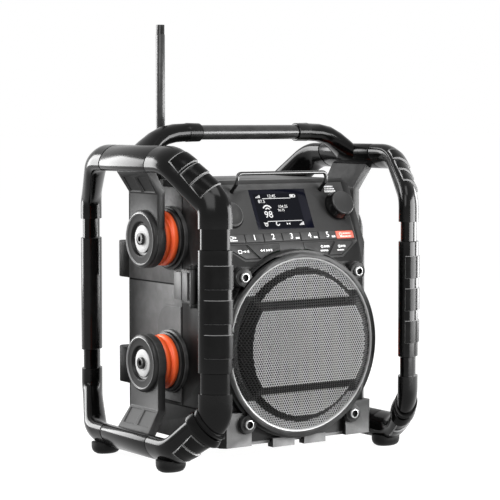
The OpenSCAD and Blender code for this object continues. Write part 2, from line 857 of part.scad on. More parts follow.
// The grille's pressed form, lifted by t: a rim, a raised disc, a raised band
module grille_form(t) {
    back = -drum_front - 1.6;
    rim = -ring_front + 0.5;
    translate([0, back, speaker_z]) rotate([90, 0, 0]) union() {
        cylinder(h = back - rim - t, r = grille_r - (t > 0 ? 2 : 0));
        cylinder(h = back - rim + lobe_up - t, r1 = lobe_r + 5 - t, r2 = lobe_r - t);
    }
    intersection() {
        translate([0, rim, speaker_z]) rotate([90, 0, 90])
            linear_extrude(height = 2 * (70 - t), center = true) polygon([
                [1, -47 + t], [-lobe_up + t, -47 + t], [-band_up + t, -band_half + t],
                [-band_up + t, band_half - t], [-lobe_up + t, 47 - t], [1, 47 - t]]);
        translate([0, back, speaker_z]) rotate([90, 0, 0])
            cylinder(h = far, r = lobe_r + 3 - t);
    }
}

module speaker_grille() {
    color(black) difference() {
        grille_form(0);
        translate([0, 0.05, 0]) grille_form(grille_t);
        for (i = [-5:5], j = [-5:5]) if (norm([i, j]) * opening_pitch < opening_reach)
            y_cylinder(-far / 2, 0, opening_r, i * opening_pitch, speaker_z + j * opening_pitch);
    }
}

// Pressed basket and magnet of the driver, turned about the speaker's axis
module speaker_frame() {
    flange = body_front - wall;
    color("#2c2d30") translate([0, -flange, speaker_z]) rotate([-90, 0, 0]) union() {
        rotate_extrude() polygon([
            [driver_r - 8, 0], [driver_r, 0], [driver_r, 2.5], [driver_r - 7, 2.5],
            [48, 38], [46, 40], [20, 40], [20, 37.6], [45, 37.6], [driver_r - 10, 2.5]]);
        difference() {
            translate([0, 0, 39]) cylinder(h = 21, r = 42);
            translate([0, 0, 38]) cylinder(h = 14, r = 19);
        }
    }
}

// Cone and roll surround of the driver
module speaker_cone() {
    flange = body_front - wall;
    color("#26262a") translate([0, -flange, speaker_z]) rotate([-90, 0, 0])
        rotate_extrude() polygon([
            [0, 26.5], [17, 30.5], [58, 7], [62, 5], [66, 0.6], [71.48, 0.6], [70.2, 2.2],
            [66.4, 2.4], [62.6, 6.6], [58.4, 8.8], [17.6, 34], [17.6, 44], [16.4, 44],
            [16.4, 33], [0, 28.5]]);
}

// --- Control panel -------------------------------------------------------------------

panel_t = 2.5;
lens_w = 70;
lens_h = 44;
key_row_x = 2.3;
key_high = -4.7;
key_low = -14;
keys = 7;
key_w = key_pitch - key_gap;
row_left = key_row_x - keys * key_pitch / 2;
knob_at = [70.5, 22];
shaft_r = 3;
guard_x = 55.3;
guard_v = 42;
second_row_high = -16;

// Cuts the drum's round out of something drawn in the panel's frame
module clear_of_drum(extra) {
    rotate([-(90 - panel_lean), 0, 0]) translate([0, -panel_y, -panel_z])
        y_cylinder(-far / 2, far / 2, drum_r + extra);
}

// The left-hand key shapes of the lower row: the outer key and the inner one
module outer_key_shape(g) {
    polygon([[-77.5 + g, second_row_high - g], [-54.6 - g, second_row_high - g],
             [-42.5 - g, -31.5 + g], [-60 + g, -31.5 + g], [-77.5 + g, -20 + g]]);
}

module inner_key_shape(g) {
    polygon([[-54.2 + g, second_row_high - g], [-15 - g, second_row_high - g],
             [-15 - g, -31.5 + g], [-42 + g, -31.5 + g]]);
}

module control_panel() {
    color(charcoal) on_panel() difference() {
        translate([0, 0, -panel_t]) linear_extrude(height = panel_t) panel_outline(0);
        clear_of_drum(slack);
        // Seat and window of the display
        translate([-lens_w / 2 - 0.1, -0.6, -1.6]) cube([lens_w + 0.2, lens_h + 0.2, 5]);
        translate([-28, 1.6, -10]) cube([56, 38, 20]);
        // Slot for the upper row of keys
        translate([row_left, key_low, -10]) cube([keys * key_pitch, key_high - key_low, 20]);
        // Openings for the lower keys
        for (s = [0, 1]) mirror([s, 0, 0]) translate([0, 0, -10])
            linear_extrude(height = 20) {
                outer_key_shape(0);
                inner_key_shape(0);
            }
        translate([knob_at[0], knob_at[1], -10]) cylinder(h = 20, r = 4.8);
        for (s = [-1, 1]) translate([s * guard_x, guard_v, -10]) cylinder(h = 20, r = 2.2);
    }
}

key_top = 0.7;
key_deep = 6;

// A key of the upper row, i places from the left
module row_key(i, tint) {
    color(tint) on_panel() translate([row_left + i * key_pitch + key_gap / 2, 0, 0]) union() {
        translate([0, key_low + key_gap, -key_deep])
            cube([key_w, key_high - key_low - 2 * key_gap, key_deep + key_top]);
        translate([2, key_low - 1.2, -key_deep]) cube([key_w - 4, key_high - key_low + 2.4, 2]);
    }
}

module lower_key(right, inner) {
    color(charcoal) on_panel() mirror([right ? 1 : 0, 0, 0]) difference() {
        translate([0, 0, -key_deep + 1]) linear_extrude(height = key_deep - 1 + 0.5) {
            if (inner) inner_key_shape(key_gap);
            else outer_key_shape(key_gap);
        }
        clear_of_drum(slack + key_gap + 0.6);
    }
}

module display_lens() {
    color("#0c1020") on_panel() translate([-lens_w / 2, -0.5, -1.5])
        cube([lens_w, lens_h, 1.5]);
}

module display_module() {
    color("#20242c") on_panel() translate([-31, 0.6, -8]) cube([62, 41, 5.2]);
}

module main_board() {
    color("#1d5b34") on_panel() difference() {
        translate([-78, -26, -11]) cube([156, 72, 1.6]);
        for (s = [-1, 1]) translate([s * 70, -22, -20]) cylinder(h = 20, r = 1.6);
    }
}

// The guard rod: up out of the panel, forward, and across above the display
module guard_bar() {
    r = 2;
    top = 293.7;
    y = -63.3;
    foot = [guard_x, panel_y + guard_v * sin(panel_lean), panel_z + guard_v * cos(panel_lean)];
    elbow = [guard_x, y, 284.6];
    peak = [guard_x, y, top];
    half = concat([foot + [0, 1.2, -0.8]], bend(foot, elbow, peak, 3.6),
                  bend(elbow, peak, [0, y, top], 5));
    color(black) rod(concat(half, [for (i = [len(half) - 1:-1:0])
        [-half[i][0], half[i][1], half[i][2]]]), r);
}

// The encoder's body, with the bore its shaft turns in
module tuning_encoder() {
    color(steel) on_panel() translate([knob_at[0], knob_at[1], -9.4]) difference() {
        union() {
            translate([-6, -6, 0]) cube([12, 12, 5]);
            translate([0, 0, 4]) cylinder(h = 4, r = 4.6);
        }
        translate([0, 0, 1]) cylinder(h = 10, r = shaft_r + 0.05);
    }
}

module knob_shaft() {
    color(steel) on_panel() translate([knob_at[0], knob_at[1], -8.2])
        cylinder(h = 8.2 + knob_h - 3, r = shaft_r);
}

module tuning_knob() {
    color(black) on_panel() translate([knob_at[0], knob_at[1], 1.5]) difference() {
        rotate_extrude() polygon([
            [0, 0], [knob_r, 0], [knob_r, 2.4], [knob_r - 0.8, 3.2],
            [knob_r - 2.6, knob_h - 1.2], [knob_r - 3.8, knob_h], [0, knob_h]]);
        translate([0, 0, -1]) cylinder(h = knob_h - 2.4, r = shaft_r + 0.05);
        for (i = [0:11]) rotate([0, 0, i * 30]) translate([knob_r + 0.2, 0, 3])
            cylinder(h = knob_h, r = 1.4, $fn = 24);
    }
}

// --- Antenna ---------------------------------------------------------------------------

antenna_x = -82;
antenna_y = 40;
fold_z = body_high_z + 13.5;
fork_gap = 5.2;
stem_r = 4.2;
whip_pin_r = 1.5;

// Turret that turns in the cabinet's top and carries the fold hinge
module antenna_base() {
    color(black) translate([antenna_x, antenna_y, body_high_z]) difference() {
        union() {
            translate([0, 0, 0.3]) cylinder(h = 6.2, r = 8);
            translate([0, 0, -wall - 5.8]) cylinder(h = wall + 7, r = stem_r);
            translate([0, 0, -wall - 6]) cylinder(h = 2.6, r = 5.4);
            translate([0, 7, fold_z - body_high_z]) rotate([90, 0, 0]) cylinder(h = 14, r = 5);
            translate([-5, -7, 4]) cube([10, 14, fold_z - body_high_z - 4]);
        }
        translate([-8, -fork_gap / 2, 6.5]) cube([20, fork_gap, 20]);
        translate([0, 10, fold_z - body_high_z]) rotate([90, 0, 0])
            cylinder(h = 20, r = whip_pin_r + 0.06);
    }
}

module antenna_whip() {
    color(black) translate([antenna_x, antenna_y, fold_z]) union() {
        translate([0, fork_gap / 2 - 0.3, 0]) rotate([90, 0, 0])
            cylinder(h = fork_gap - 0.6, r = 4.4);
        translate([-3.6, -fork_gap / 2 + 0.3, 0]) cube([7.2, fork_gap - 0.6, 10]);
        translate([0, 6.4, 0]) rotate([90, 0, 0]) cylinder(h = 12.8, r = whip_pin_r);
        translate([0, 0, 9]) cylinder(h = whip_len - 9 - 10, r = whip_d / 2);
        translate([0, 0, whip_len - 10.5]) cylinder(h = 10.5, r = whip_d / 2 - 0.35);
    }
}

// --- Nodes ---------------------------------------------------------------------------

front_post(true);  // left_front_post
front_post(false);  // right_front_post
upper_front_corner(true);  // left_upper_front_corner
upper_front_corner(false);  // right_upper_front_corner
lower_front_corner(true);  // left_lower_front_corner
lower_front_corner(false);  // right_lower_front_corner
rear_post(true);  // left_rear_post
rear_post(false);  // right_rear_post
handle_bracket(true);  // left_handle_bracket
handle_bracket(false);  // right_handle_bracket
bottom_rail(true);  // left_bottom_rail
bottom_rail(false);  // right_bottom_rail
handle_bar();
cage_feet();
arm(true, false);  // left_upper_arm
arm(true, true);  // left_lower_arm
arm(false, false);  // right_upper_arm
arm(false, true);  // right_lower_arm
end_discs();
rubber_isolators();
disc_washers();
disc_bolts();
isolator_flanges();
front_housing();
rear_housing();
battery_housing();
base_skirt();
latch(true);  // left_latch
latch(false);  // right_latch
battery_door();
door_catch();
jack_cover();
rear_bumpers();
battery_cells();
control_panel();
display_lens();
display_module();
main_board();
guard_bar();
tuning_encoder();
knob_shaft();
tuning_knob();
speaker_grille();
grille_ring();
grille_screws();
speaker_frame();
speaker_cone();
antenna_base();
antenna_whip();
row_key(0, charcoal);  // page_key
row_key(1, charcoal);  // preset_key_1
row_key(2, charcoal);  // preset_key_2
row_key(3, charcoal);  // preset_key_3
row_key(4, charcoal);  // preset_key_4
row_key(5, charcoal);  // preset_key_5
row_key(6, "#e98a78");  // power_key
lower_key(false, false);  // source_key
lower_key(false, true);  // seek_key
lower_key(true, true);  // alarm_key
lower_key(true, false);  // info_key
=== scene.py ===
"""Looks of the jobsite radio: a cabinet on rubber mounts inside a tubular roll cage."""

import json
from math import cos, hypot, pi, radians, sin, sqrt

import bmesh
import bpy
from mathutils import Matrix, Vector


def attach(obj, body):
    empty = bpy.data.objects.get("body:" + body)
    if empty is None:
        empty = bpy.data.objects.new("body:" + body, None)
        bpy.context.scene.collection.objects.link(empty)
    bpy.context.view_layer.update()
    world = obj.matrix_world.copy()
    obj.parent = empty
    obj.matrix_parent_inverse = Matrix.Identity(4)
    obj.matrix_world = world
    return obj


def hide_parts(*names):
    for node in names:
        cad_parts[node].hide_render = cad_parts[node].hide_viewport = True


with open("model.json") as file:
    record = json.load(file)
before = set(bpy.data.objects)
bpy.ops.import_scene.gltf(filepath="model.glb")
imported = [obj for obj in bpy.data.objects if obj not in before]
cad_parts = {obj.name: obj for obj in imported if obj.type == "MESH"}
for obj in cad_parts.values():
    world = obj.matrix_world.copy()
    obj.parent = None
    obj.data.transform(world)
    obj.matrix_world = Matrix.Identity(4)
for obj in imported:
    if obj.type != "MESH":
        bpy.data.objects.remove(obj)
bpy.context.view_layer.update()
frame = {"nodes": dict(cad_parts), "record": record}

# Lengths below are in millimetres, in the frame's axes: X right, Y to the rear, Z up.
MM = 0.001
Y, Z = 1, 2

BODY_OF = {
    node: body
    for body, nodes in frame["record"]["behaviour"]["bodies"].items()
    for node in nodes
}

# --- Camera -------------------------------------------------------------------------

CAMERA_TURN = radians(34.39)
CAMERA_DIP = radians(3.98)
CAMERA_AT = (-1.1121, -1.6296, 0.3484)
CAMERA_LENS = 135.4


def add_camera():
    """A long lens at the front left that looks a little down."""
    lens = bpy.data.cameras.new("camera")
    lens.sensor_width = 36
    lens.lens = CAMERA_LENS
    lens.clip_end = 50
    camera = bpy.data.objects.new("camera", lens)
    bpy.context.collection.objects.link(camera)
    forward = Vector((
        sin(CAMERA_TURN) * cos(CAMERA_DIP), cos(CAMERA_TURN) * cos(CAMERA_DIP), -sin(CAMERA_DIP)
    ))
    camera.location = CAMERA_AT
    camera.rotation_euler = forward.to_track_quat("-Z", "Y").to_euler()
    bpy.context.scene.camera = camera


add_camera()

# --- Shader groups --------------------------------------------------------------------


def new_group(name, inputs, outputs):
    """A shader group whose inputs and outputs are plain numbers."""
    group = bpy.data.node_groups.new(name, "ShaderNodeTree")
    for socket, value in inputs.items():
        made = group.interface.new_socket(
            name=socket, in_out="INPUT", socket_type="NodeSocketFloat"
        )
        made.default_value = value
    for socket in outputs:
        group.interface.new_socket(
            name=socket, in_out="OUTPUT", socket_type="NodeSocketFloat"
        )
    return group, group.nodes.new("NodeGroupInput"), group.nodes.new("NodeGroupOutput")


def math_node(nodes, operation, value=0.0):
    """One step of arithmetic, with value as its second number."""
    node = nodes.new("ShaderNodeMath")
    node.operation = operation
    node.inputs[1].default_value = value
    return node


def moulded_grain():
    """Fine pits of a textured mould, and a slow change of tone over the part."""
    group, given, out = new_group(
        "moulded grain", {"Pits per metre": 1500.0, "Tone": 0.12}, ["Height", "Shade"]
    )
    nodes, links = group.nodes, group.links
    place = nodes.new("ShaderNodeTexCoord")
    pits = nodes.new("ShaderNodeTexNoise")
    pits.inputs["Detail"].default_value = 2.0
    links.new(place.outputs["Object"], pits.inputs["Vector"])
    links.new(given.outputs["Pits per metre"], pits.inputs["Scale"])
    links.new(pits.outputs["Fac"], out.inputs["Height"])
    slow = nodes.new("ShaderNodeTexNoise")
    slow.inputs["Scale"].default_value = 22.0
    slow.inputs["Detail"].default_value = 4.0
    links.new(place.outputs["Object"], slow.inputs["Vector"])
    centred = math_node(nodes, "SUBTRACT", 0.5)
    links.new(slow.outputs["Fac"], centred.inputs[0])
    speck = math_node(nodes, "SUBTRACT", 0.5)
    links.new(pits.outputs["Fac"], speck.inputs[0])
    both = math_node(nodes, "ADD")
    links.new(centred.outputs[0], both.inputs[0])
    links.new(speck.outputs[0], both.inputs[1])
    scaled = math_node(nodes, "MULTIPLY")
    links.new(both.outputs[0], scaled.inputs[0])
    links.new(given.outputs["Tone"], scaled.inputs[1])
    shade = math_node(nodes, "ADD", 1.0)
    links.new(scaled.outputs[0], shade.inputs[0])
    links.new(shade.outputs[0], out.inputs["Shade"])
    return group


# Pointiness at which an edge starts to look worn; a flat face has 0.5
WORN_FROM = 0.52


def worn_edges():
    """A mask of the edges that rub, broken up so that no edge is worn evenly."""
    group, given, out = new_group("worn edges", {"Reach": 0.06}, ["Mask"])
    nodes, links = group.nodes, group.links
    form = nodes.new("ShaderNodeNewGeometry")
    ramp = nodes.new("ShaderNodeMapRange")
    ramp.inputs["From Min"].default_value = WORN_FROM
    top = math_node(nodes, "ADD", WORN_FROM)
    links.new(given.outputs["Reach"], top.inputs[0])
    links.new(top.outputs[0], ramp.inputs["From Max"])
    links.new(form.outputs["Pointiness"], ramp.inputs["Value"])
    place = nodes.new("ShaderNodeTexCoord")
    patches = nodes.new("ShaderNodeTexNoise")
    patches.inputs["Scale"].default_value = 90.0
    patches.inputs["Detail"].default_value = 5.0
    links.new(place.outputs["Object"], patches.inputs["Vector"])
    broken = math_node(nodes, "MULTIPLY")
    links.new(ramp.outputs[0], broken.inputs[0])
    links.new(patches.outputs["Fac"], broken.inputs[1])
    links.new(broken.outputs[0], out.inputs["Mask"])
    return group


GRAIN = moulded_grain()
WEAR = worn_edges()

# --- Materials ------------------------------------------------------------------------


def grey(level):
    """Linear grey for an sRGB level from 0 to 255."""
    s = level / 255
    linear = s / 12.92 if s <= 0.04045 else ((s + 0.055) / 1.055) ** 2.4
    return (linear, linear, linear)


def tinted(red, green, blue):
    """Linear colour for sRGB levels from 0 to 255."""
    return (grey(red)[0], grey(green)[0], grey(blue)[0])


def blend_in(nodes, links, under, colour, mask):
    """Lays a colour over another where the mask says."""
    mix = nodes.new("ShaderNodeMix")
    mix.data_type = "RGBA"
    mix.inputs["B"].default_value = (*colour, 1)
    links.new(under, mix.inputs["A"])
    links.new(mask, mix.inputs["Factor"])
    return mix.outputs["Result"]


def finish(name, colour, rough, pits, depth, tone=0.15, worn=None,
           metal=0.0, specular=0.5, coat=0.0, rough_spread=0.1):
    """A moulded, painted or metal finish with its grain and edge wear.

    The grain has so many pits per metre, depth millimetres deep; worn is the edges' colour.
    """
    material = bpy.data.materials.new(name)
    material.use_nodes = True
    nodes, links = material.node_tree.nodes, material.node_tree.links
    shader = nodes["Principled BSDF"]
    shader.inputs["Metallic"].default_value = metal
    shader.inputs["Specular IOR Level"].default_value = specular
    shader.inputs["Coat Weight"].default_value = coat
    shader.inputs["Coat Roughness"].default_value = 0.08
    grain = nodes.new("ShaderNodeGroup")
    grain.node_tree = GRAIN
    grain.inputs["Pits per metre"].default_value = pits
    grain.inputs["Tone"].default_value = tone
    shaded = nodes.new("ShaderNodeMix")
    shaded.data_type = "RGBA"
    shaded.blend_type = "MULTIPLY"
    shaded.inputs["Factor"].default_value = 1.0
    shaded.inputs["A"].default_value = (*colour, 1)
    links.new(grain.outputs["Shade"], shaded.inputs["B"])
    result = shaded.outputs["Result"]
    if worn:
        edges = nodes.new("ShaderNodeGroup")
        edges.node_tree = WEAR
        result = blend_in(nodes, links, result, worn, edges.outputs["Mask"])
    links.new(result, shader.inputs["Base Color"])
    spread = nodes.new("ShaderNodeMapRange")
    spread.inputs["To Min"].default_value = rough - rough_spread / 2
    spread.inputs["To Max"].default_value = rough + rough_spread / 2
    links.new(grain.outputs["Height"], spread.inputs["Value"])
    links.new(spread.outputs[0], shader.inputs["Roughness"])
    bump = nodes.new("ShaderNodeBump")
    bump.inputs["Strength"].default_value = 0.6
    bump.inputs["Distance"].default_value = depth * MM
    links.new(grain.outputs["Height"], bump.inputs["Height"])
    links.new(bump.outputs["Normal"], shader.inputs["Normal"])
    return material


def glow(name, colour, strength):
    """Lit marks on the display: they shine by themselves."""
    material = bpy.data.materials.new(name)
    material.use_nodes = True
    shader = material.node_tree.nodes["Principled BSDF"]
    shader.inputs["Base Color"].default_value = (0.02, 0.02, 0.02, 1)
    shader.inputs["Emission Color"].default_value = (*colour, 1)
    shader.inputs["Emission Strength"].default_value = strength
    return material


TUBE = finish("cage tube", grey(5), 0.17, pits=900, depth=0.008, tone=0.3, worn=grey(30),
              specular=0.15, rough_spread=0.04)
PAD = finish("cage pad", grey(4), 0.2, pits=1100, depth=0.01, tone=0.3, worn=grey(30),
             specular=0.09)
# Painted highlight: light grey on the pads' side walls, where lamps catch their edges
PAD_EDGE_HIGHLIGHT = finish("pad edge painted highlight", grey(120), 0.4, pits=1100, depth=0.01, tone=0.3)
HANDLE = finish("handle grip", grey(9), 0.24, pits=900, depth=0.01, tone=0.3, worn=grey(60),
                specular=0.36)
ARM = finish("grey arm", grey(34), 0.42, pits=1400, depth=0.08, tone=0.22, worn=grey(110),
             specular=0.2)
# Painted shade on the upper arms' down-facing webs, painted light on the lower arms' up-facing
# webs
ARM_SHADE = finish("arm web painted shade", grey(14), 0.45, pits=1400, depth=0.08, tone=0.4, worn=grey(90),
                   specular=0.08)
ARM_WEB_LIT = finish("arm web painted light", grey(78), 0.55, pits=1400, depth=0.1, tone=0.3, worn=grey(110),
                 specular=0.04)
DISC = finish("disc rubber", grey(10), 0.36, pits=1500, depth=0.04, tone=0.3, worn=grey(110),
              specular=0.16)
DISC_FACE = finish("disc face", grey(56), 0.6, pits=1500, depth=0.1, tone=0.5, specular=0.03)
# Painted highlight: the bead's pale grey stands in for the glint on the disc's edge
BEAD = finish("disc bead painted highlight", grey(120), 0.35, pits=1500, depth=0.02, tone=0.2)
ORANGE = finish("orange rubber", tinted(250, 98, 42), 0.42, pits=1200, depth=0.05, tone=0.14)
WASHER = finish("cast washer", grey(185), 0.6, pits=1700, depth=0.2, tone=0.8, specular=0.3)
BOLT = finish("black bolt", grey(6), 0.25, pits=900, depth=0.02, worn=grey(110), specular=0.1)
CHROME = finish("bright screw", grey(170), 0.25, pits=900, depth=0.01, metal=0.7)
# Painted shade: near-black in the screws' sockets, where the recess is in shade
SOCKET = finish("screw socket painted shade", grey(6), 0.6, pits=900, depth=0.01, specular=0.1)
HOUSING = finish("housing plastic", grey(32), 0.42, pits=1300, depth=0.08, tone=0.14,
                 worn=grey(90), specular=0.16)
FLANK = finish("black flank", grey(14), 0.42, pits=1300, depth=0.06, tone=0.3, worn=grey(70),
               specular=0.1)
# Painted shadow: near-black marks along the shells' joints, the key gaps and the dome's trench
SEAM = finish("seam shadow", grey(3), 0.8, pits=900, depth=0.01, specular=0.1)
SKIRT = finish("skirt plastic", grey(68), 0.62, pits=1100, depth=0.3, tone=0.5, worn=grey(140),
               specular=0.3)
PANEL_PLASTIC = finish("panel plastic", grey(46), 0.5, pits=1300, depth=0.12, tone=0.3,
                       worn=grey(90), specular=0.14)
KEY = finish("key plastic", grey(26), 0.5, pits=1300, depth=0.1, tone=0.3, worn=grey(90),
             specular=0.12)
POWER = finish("power key", tinted(214, 104, 86), 0.42, pits=1300, depth=0.05, tone=0.25)
LEGEND = finish("white legend", grey(240), 0.6, pits=1500, depth=0.01, tone=0.05)
GLASS = finish("display glass", tinted(9, 10, 20), 0.12, pits=300, depth=0.002, tone=0.1,
               specular=0.14)
SCREEN = finish("dark screen", tinted(3, 4, 10), 0.2, pits=300, depth=0.002, tone=0.1,
                specular=0.1)
BEZEL = finish("display bezel", tinted(34, 36, 44), 0.3, pits=1300, depth=0.02, tone=0.2)
LIT = glow("lit marks", grey(250), 1.0)
POWER_INK = finish("power key print", tinted(255, 236, 228), 0.5, pits=1500, depth=0.01,
                   tone=0.05)
BOARD = finish("board laminate", tinted(22, 88, 44), 0.4, pits=700, depth=0.05)
GUARD = finish("guard rod", grey(8), 0.14, pits=500, depth=0.004, coat=0.5, tone=0.2,
               specular=0.3)
KNOB = finish("knob plastic", grey(44), 0.45, pits=1500, depth=0.05, tone=0.3, worn=grey(110),
              specular=0.3)
KNOB_SIDE = finish("knob side", grey(6), 0.18, pits=800, depth=0.01, tone=0.2, coat=0.2,
                   specular=0.3)
STEEL = finish("turned steel", grey(170), 0.3, pits=900, depth=0.02, metal=1.0)
# Painted sheen: the sheet's front faces are light grey where they catch the lamp; its slopes are
# a darker copy as painted shade
GRILLE = finish("grille painted sheen", grey(150), 0.35, pits=1500, depth=0.02, tone=0.2, specular=0.5)
GRILLE_SLOPE_SHADE = finish("grille slopes painted shade", grey(36), 0.4, pits=1500, depth=0.02, tone=0.2,
                     specular=0.2)
# Painted highlight: the rim's light grey stands in for the lamp's glint on its edge
RIM = finish("rim painted highlight", grey(150), 0.28, pits=1500, depth=0.02, tone=0.2, specular=0.6)
RING = finish("ring plastic", grey(8), 0.34, pits=1200, depth=0.03, worn=grey(110),
              specular=0.15)
BASKET = finish("driver metal", grey(10), 0.5, pits=800, depth=0.04, specular=0.1)
CONE = finish("paper cone", grey(8), 0.8, pits=1000, depth=0.2, tone=0.4, specular=0.1)
CELL = finish("cell jacket", tinted(190, 160, 70), 0.35, pits=600, depth=0.02)
ANTENNA = finish("antenna black", grey(16), 0.26, pits=900, depth=0.02, worn=grey(90),
                 specular=0.24)
RUBBER = finish("black rubber", grey(9), 0.45, pits=1300, depth=0.06, tone=0.3, worn=grey(50),
                specular=0.12)
LATCH = finish("latch plastic", grey(30), 0.45, pits=1400, depth=0.08, tone=0.3, worn=grey(80),
               specular=0.3)

# --- Making pieces --------------------------------------------------------------------


def add_piece(name, shape, materials, node=None, body=None, crease=32,
              bevel=0.0, steps=2, outwards=True):
    """Turns a shape in millimetres into a piece that rides with its node's body."""
    if outwards:
        bmesh.ops.recalc_face_normals(shape, faces=shape.faces)
    bmesh.ops.scale(shape, vec=(MM, MM, MM), verts=shape.verts)
    for face in shape.faces:
        face.smooth = True
    mesh = bpy.data.meshes.new(name)
    shape.to_mesh(mesh)
    shape.free()
    for material in materials:
        mesh.materials.append(material)
    if not bevel:
        mesh.set_sharp_from_angle(angle=radians(crease))
    piece = bpy.data.objects.new(name, mesh)
    bpy.context.collection.objects.link(piece)
    if bevel:
        edge = piece.modifiers.new("eased edges", "BEVEL")
        edge.width = bevel * MM
        edge.segments = steps
        edge.limit_method = "ANGLE"
        edge.angle_limit = radians(crease)
        edge.harden_normals = True
    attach(piece, body or BODY_OF[node])
    if node:
        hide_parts(node)
    return piece


def to_left(shape):
    """Turns a shape drawn on the right over to the left."""
    bmesh.ops.scale(shape, vec=(-1, 1, 1), verts=shape.verts)
    return shape


def flipped(shape, axis, middle=0.0):
    """Mirrors a shape across the plane where axis equals middle."""
    scale = [1, 1, 1]
    scale[axis] = -1
    bmesh.ops.scale(shape, vec=scale, verts=shape.verts)
    shift = [0, 0, 0]
    shift[axis] = 2 * middle
    bmesh.ops.translate(shape, vec=shift, verts=shape.verts)
    return shape


# Points of a solid closer than this are one, and faces this near to one plane are one face
JOIN_WITHIN, FLAT_WITHIN = 0.004, radians(0.6)


def from_cad(node):
    """A copy of a node's solid, with its loose triangles joined into whole faces."""
    shape = bmesh.new()
    shape.from_mesh(frame["nodes"][node].data)
    bmesh.ops.scale(shape, vec=(1 / MM,) * 3, verts=shape.verts)
    bmesh.ops.remove_doubles(shape, verts=shape.verts, dist=JOIN_WITHIN)
    bmesh.ops.dissolve_limit(
        shape, angle_limit=FLAT_WITHIN, use_dissolve_boundaries=False,
        verts=shape.verts, edges=shape.edges,
    )
    return shape


def dressed(node, material, bevel, steps=2):
    """A node's own form with eased edges and its finish."""
    add_piece(node + "_form", from_cad(node), [material], node=node, bevel=bevel,
              steps=steps, outwards=False)


def box(shape, low, high):
    """A box between two corners; returns its vertices."""
    made = bmesh.ops.create_cube(shape, size=1)["verts"]
    size = [b - a for a, b in zip(low, high)]
    bmesh.ops.scale(shape, vec=size, verts=made)
    bmesh.ops.translate(shape, vec=[(a + b) / 2 for a, b in zip(low, high)], verts=made)
    return made


def lathe(shape, profile, place, steps=72):
    """Turns a profile of (radius, height) points about the Z axis of place."""
    first = [shape.verts.new((r, 0, h)) for r, h in profile]
    edges = [shape.edges.new(pair) for pair in zip(first, first[1:])]
    before = set(shape.verts) - set(first)
    bmesh.ops.spin(
        shape, geom=first + edges, cent=(0, 0, 0), axis=(0, 0, 1), angle=2 * pi,
        steps=steps, use_merge=True, dvec=(0, 0, 0),
    )
    made = [v for v in shape.verts if v not in before]
    bmesh.ops.remove_doubles(shape, verts=made, dist=0.001)
    made = [v for v in shape.verts if v not in before]
    bmesh.ops.transform(shape, matrix=place, verts=made)
    return made


def facing(point, direction):
    """A place whose Z axis points along direction from point."""
    turn_to = Vector(direction).to_track_quat("Z", "Y").to_matrix().to_4x4()
    return Matrix.Translation(Vector(point)) @ turn_to


def extruded(shape, outline, place, height):
    """A plate with the given outline in the XY plane of place, height thick along its Z."""
    verts = [shape.verts.new((x, y, 0)) for x, y in outline]
    face = shape.faces.new(verts)
    grown = bmesh.ops.extrude_face_region(shape, geom=[face])
    top = [g for g in grown["geom"] if isinstance(g, bmesh.types.BMVert)]
    bmesh.ops.translate(shape, vec=(0, 0, height), verts=top)
    bmesh.ops.transform(shape, matrix=place, verts=verts + top)


def arc(cx, cy, r, start, end, steps):
    """Points round a centre, from a start to an end in degrees."""
    turns = [radians(start + (end - start) * i / steps) for i in range(steps + 1)]
    return [(cx + r * cos(t), cy + r * sin(t)) for t in turns]


def clamped(t):
    """The value itself between 0 and 1, and the nearer of the two outside them."""
    return min(1.0, max(0.0, t))


def eased(t):
    """A rise from 0 to 1 that starts and ends softly."""
    s = clamped(t)
    return s * s * (3 - 2 * s)


# --- Oval tube of the cage ------------------------------------------------------------

SIDES = 40
TUBE_BROAD, TUBE_THIN = 16.9, 10.1
TUBE_TURN = radians(40)
POST_X, POST_Y = 119.7, 120.2
RAIL_X = 139.5
RAIL_LOW_Z, RAIL_HIGH_Z = 21.0, 309.0
CAGE_MID_Z = (RAIL_LOW_Z + RAIL_HIGH_Z) / 2
UPPER_KNEE_Z, UPPER_RUN = 266.0, 72.0
LOWER_KNEE_Z, LOWER_RUN = 59.0, 77.0
JOINT_Y = 45.0
SLEEVE_Z, SLEEVE_HALF, NECK = CAGE_MID_Z - 2, 60.0, 20.0
CORNER_HIGH_Z = SLEEVE_Z + SLEEVE_HALF + NECK
CORNER_LOW_Z = SLEEVE_Z - SLEEVE_HALF - NECK
NECK_INSET = 2.2
POST_FACE = Vector((sin(TUBE_TURN), -cos(TUBE_TURN), 0))
RAIL_FACE = Vector((sin(TUBE_TURN), 0, cos(TUBE_TURN)))
PAD_PROUD, PAD_LIP, PAD_THIN_END = 1.3, 0.5, 0.4


class Station:
    """One ring of a tube: where it is, which way it runs and how its oval lies."""

    def __init__(self, centre, along, face, inset=0.0, broad=TUBE_BROAD, thin=TUBE_THIN):
        self.centre = Vector(centre)
        self.along = Vector(along).normalized()
        face = Vector(face)
        self.face = (face - face.dot(self.along) * self.along).normalized()
        self.across = self.along.cross(self.face)
        self.broad = broad - inset
        self.thin = thin - inset

    def matrix(self):
        axes = Matrix((self.across * self.broad, self.face * self.thin, self.along))
        return Matrix.Translation(self.centre) @ axes.transposed().to_4x4()

    def where(self, point):
        """Place on the oval: -1 to 1 along its broad axis, and which face it is on."""
        off = point - self.centre
        return off.dot(self.across) / self.broad, off.dot(self.face)


def tube(shape, stations):
    """Bridges the stations' rings into a closed tube; returns the faces between rings."""
    loops = []
    for station in stations:
        ring = bmesh.ops.create_circle(shape, segments=SIDES, radius=1, matrix=station.matrix())
        loops.append(list({e for v in ring["verts"] for e in v.link_edges}))
    bands = []
    for one, other in zip(loops, loops[1:]):
        bands.append(bmesh.ops.bridge_loops(shape, edges=one + other)["faces"])
    for loop in (loops[0], loops[-1]):
        bmesh.ops.contextual_create(shape, geom=loop)
    bmesh.ops.recalc_face_normals(shape, faces=shape.faces)
    return bands


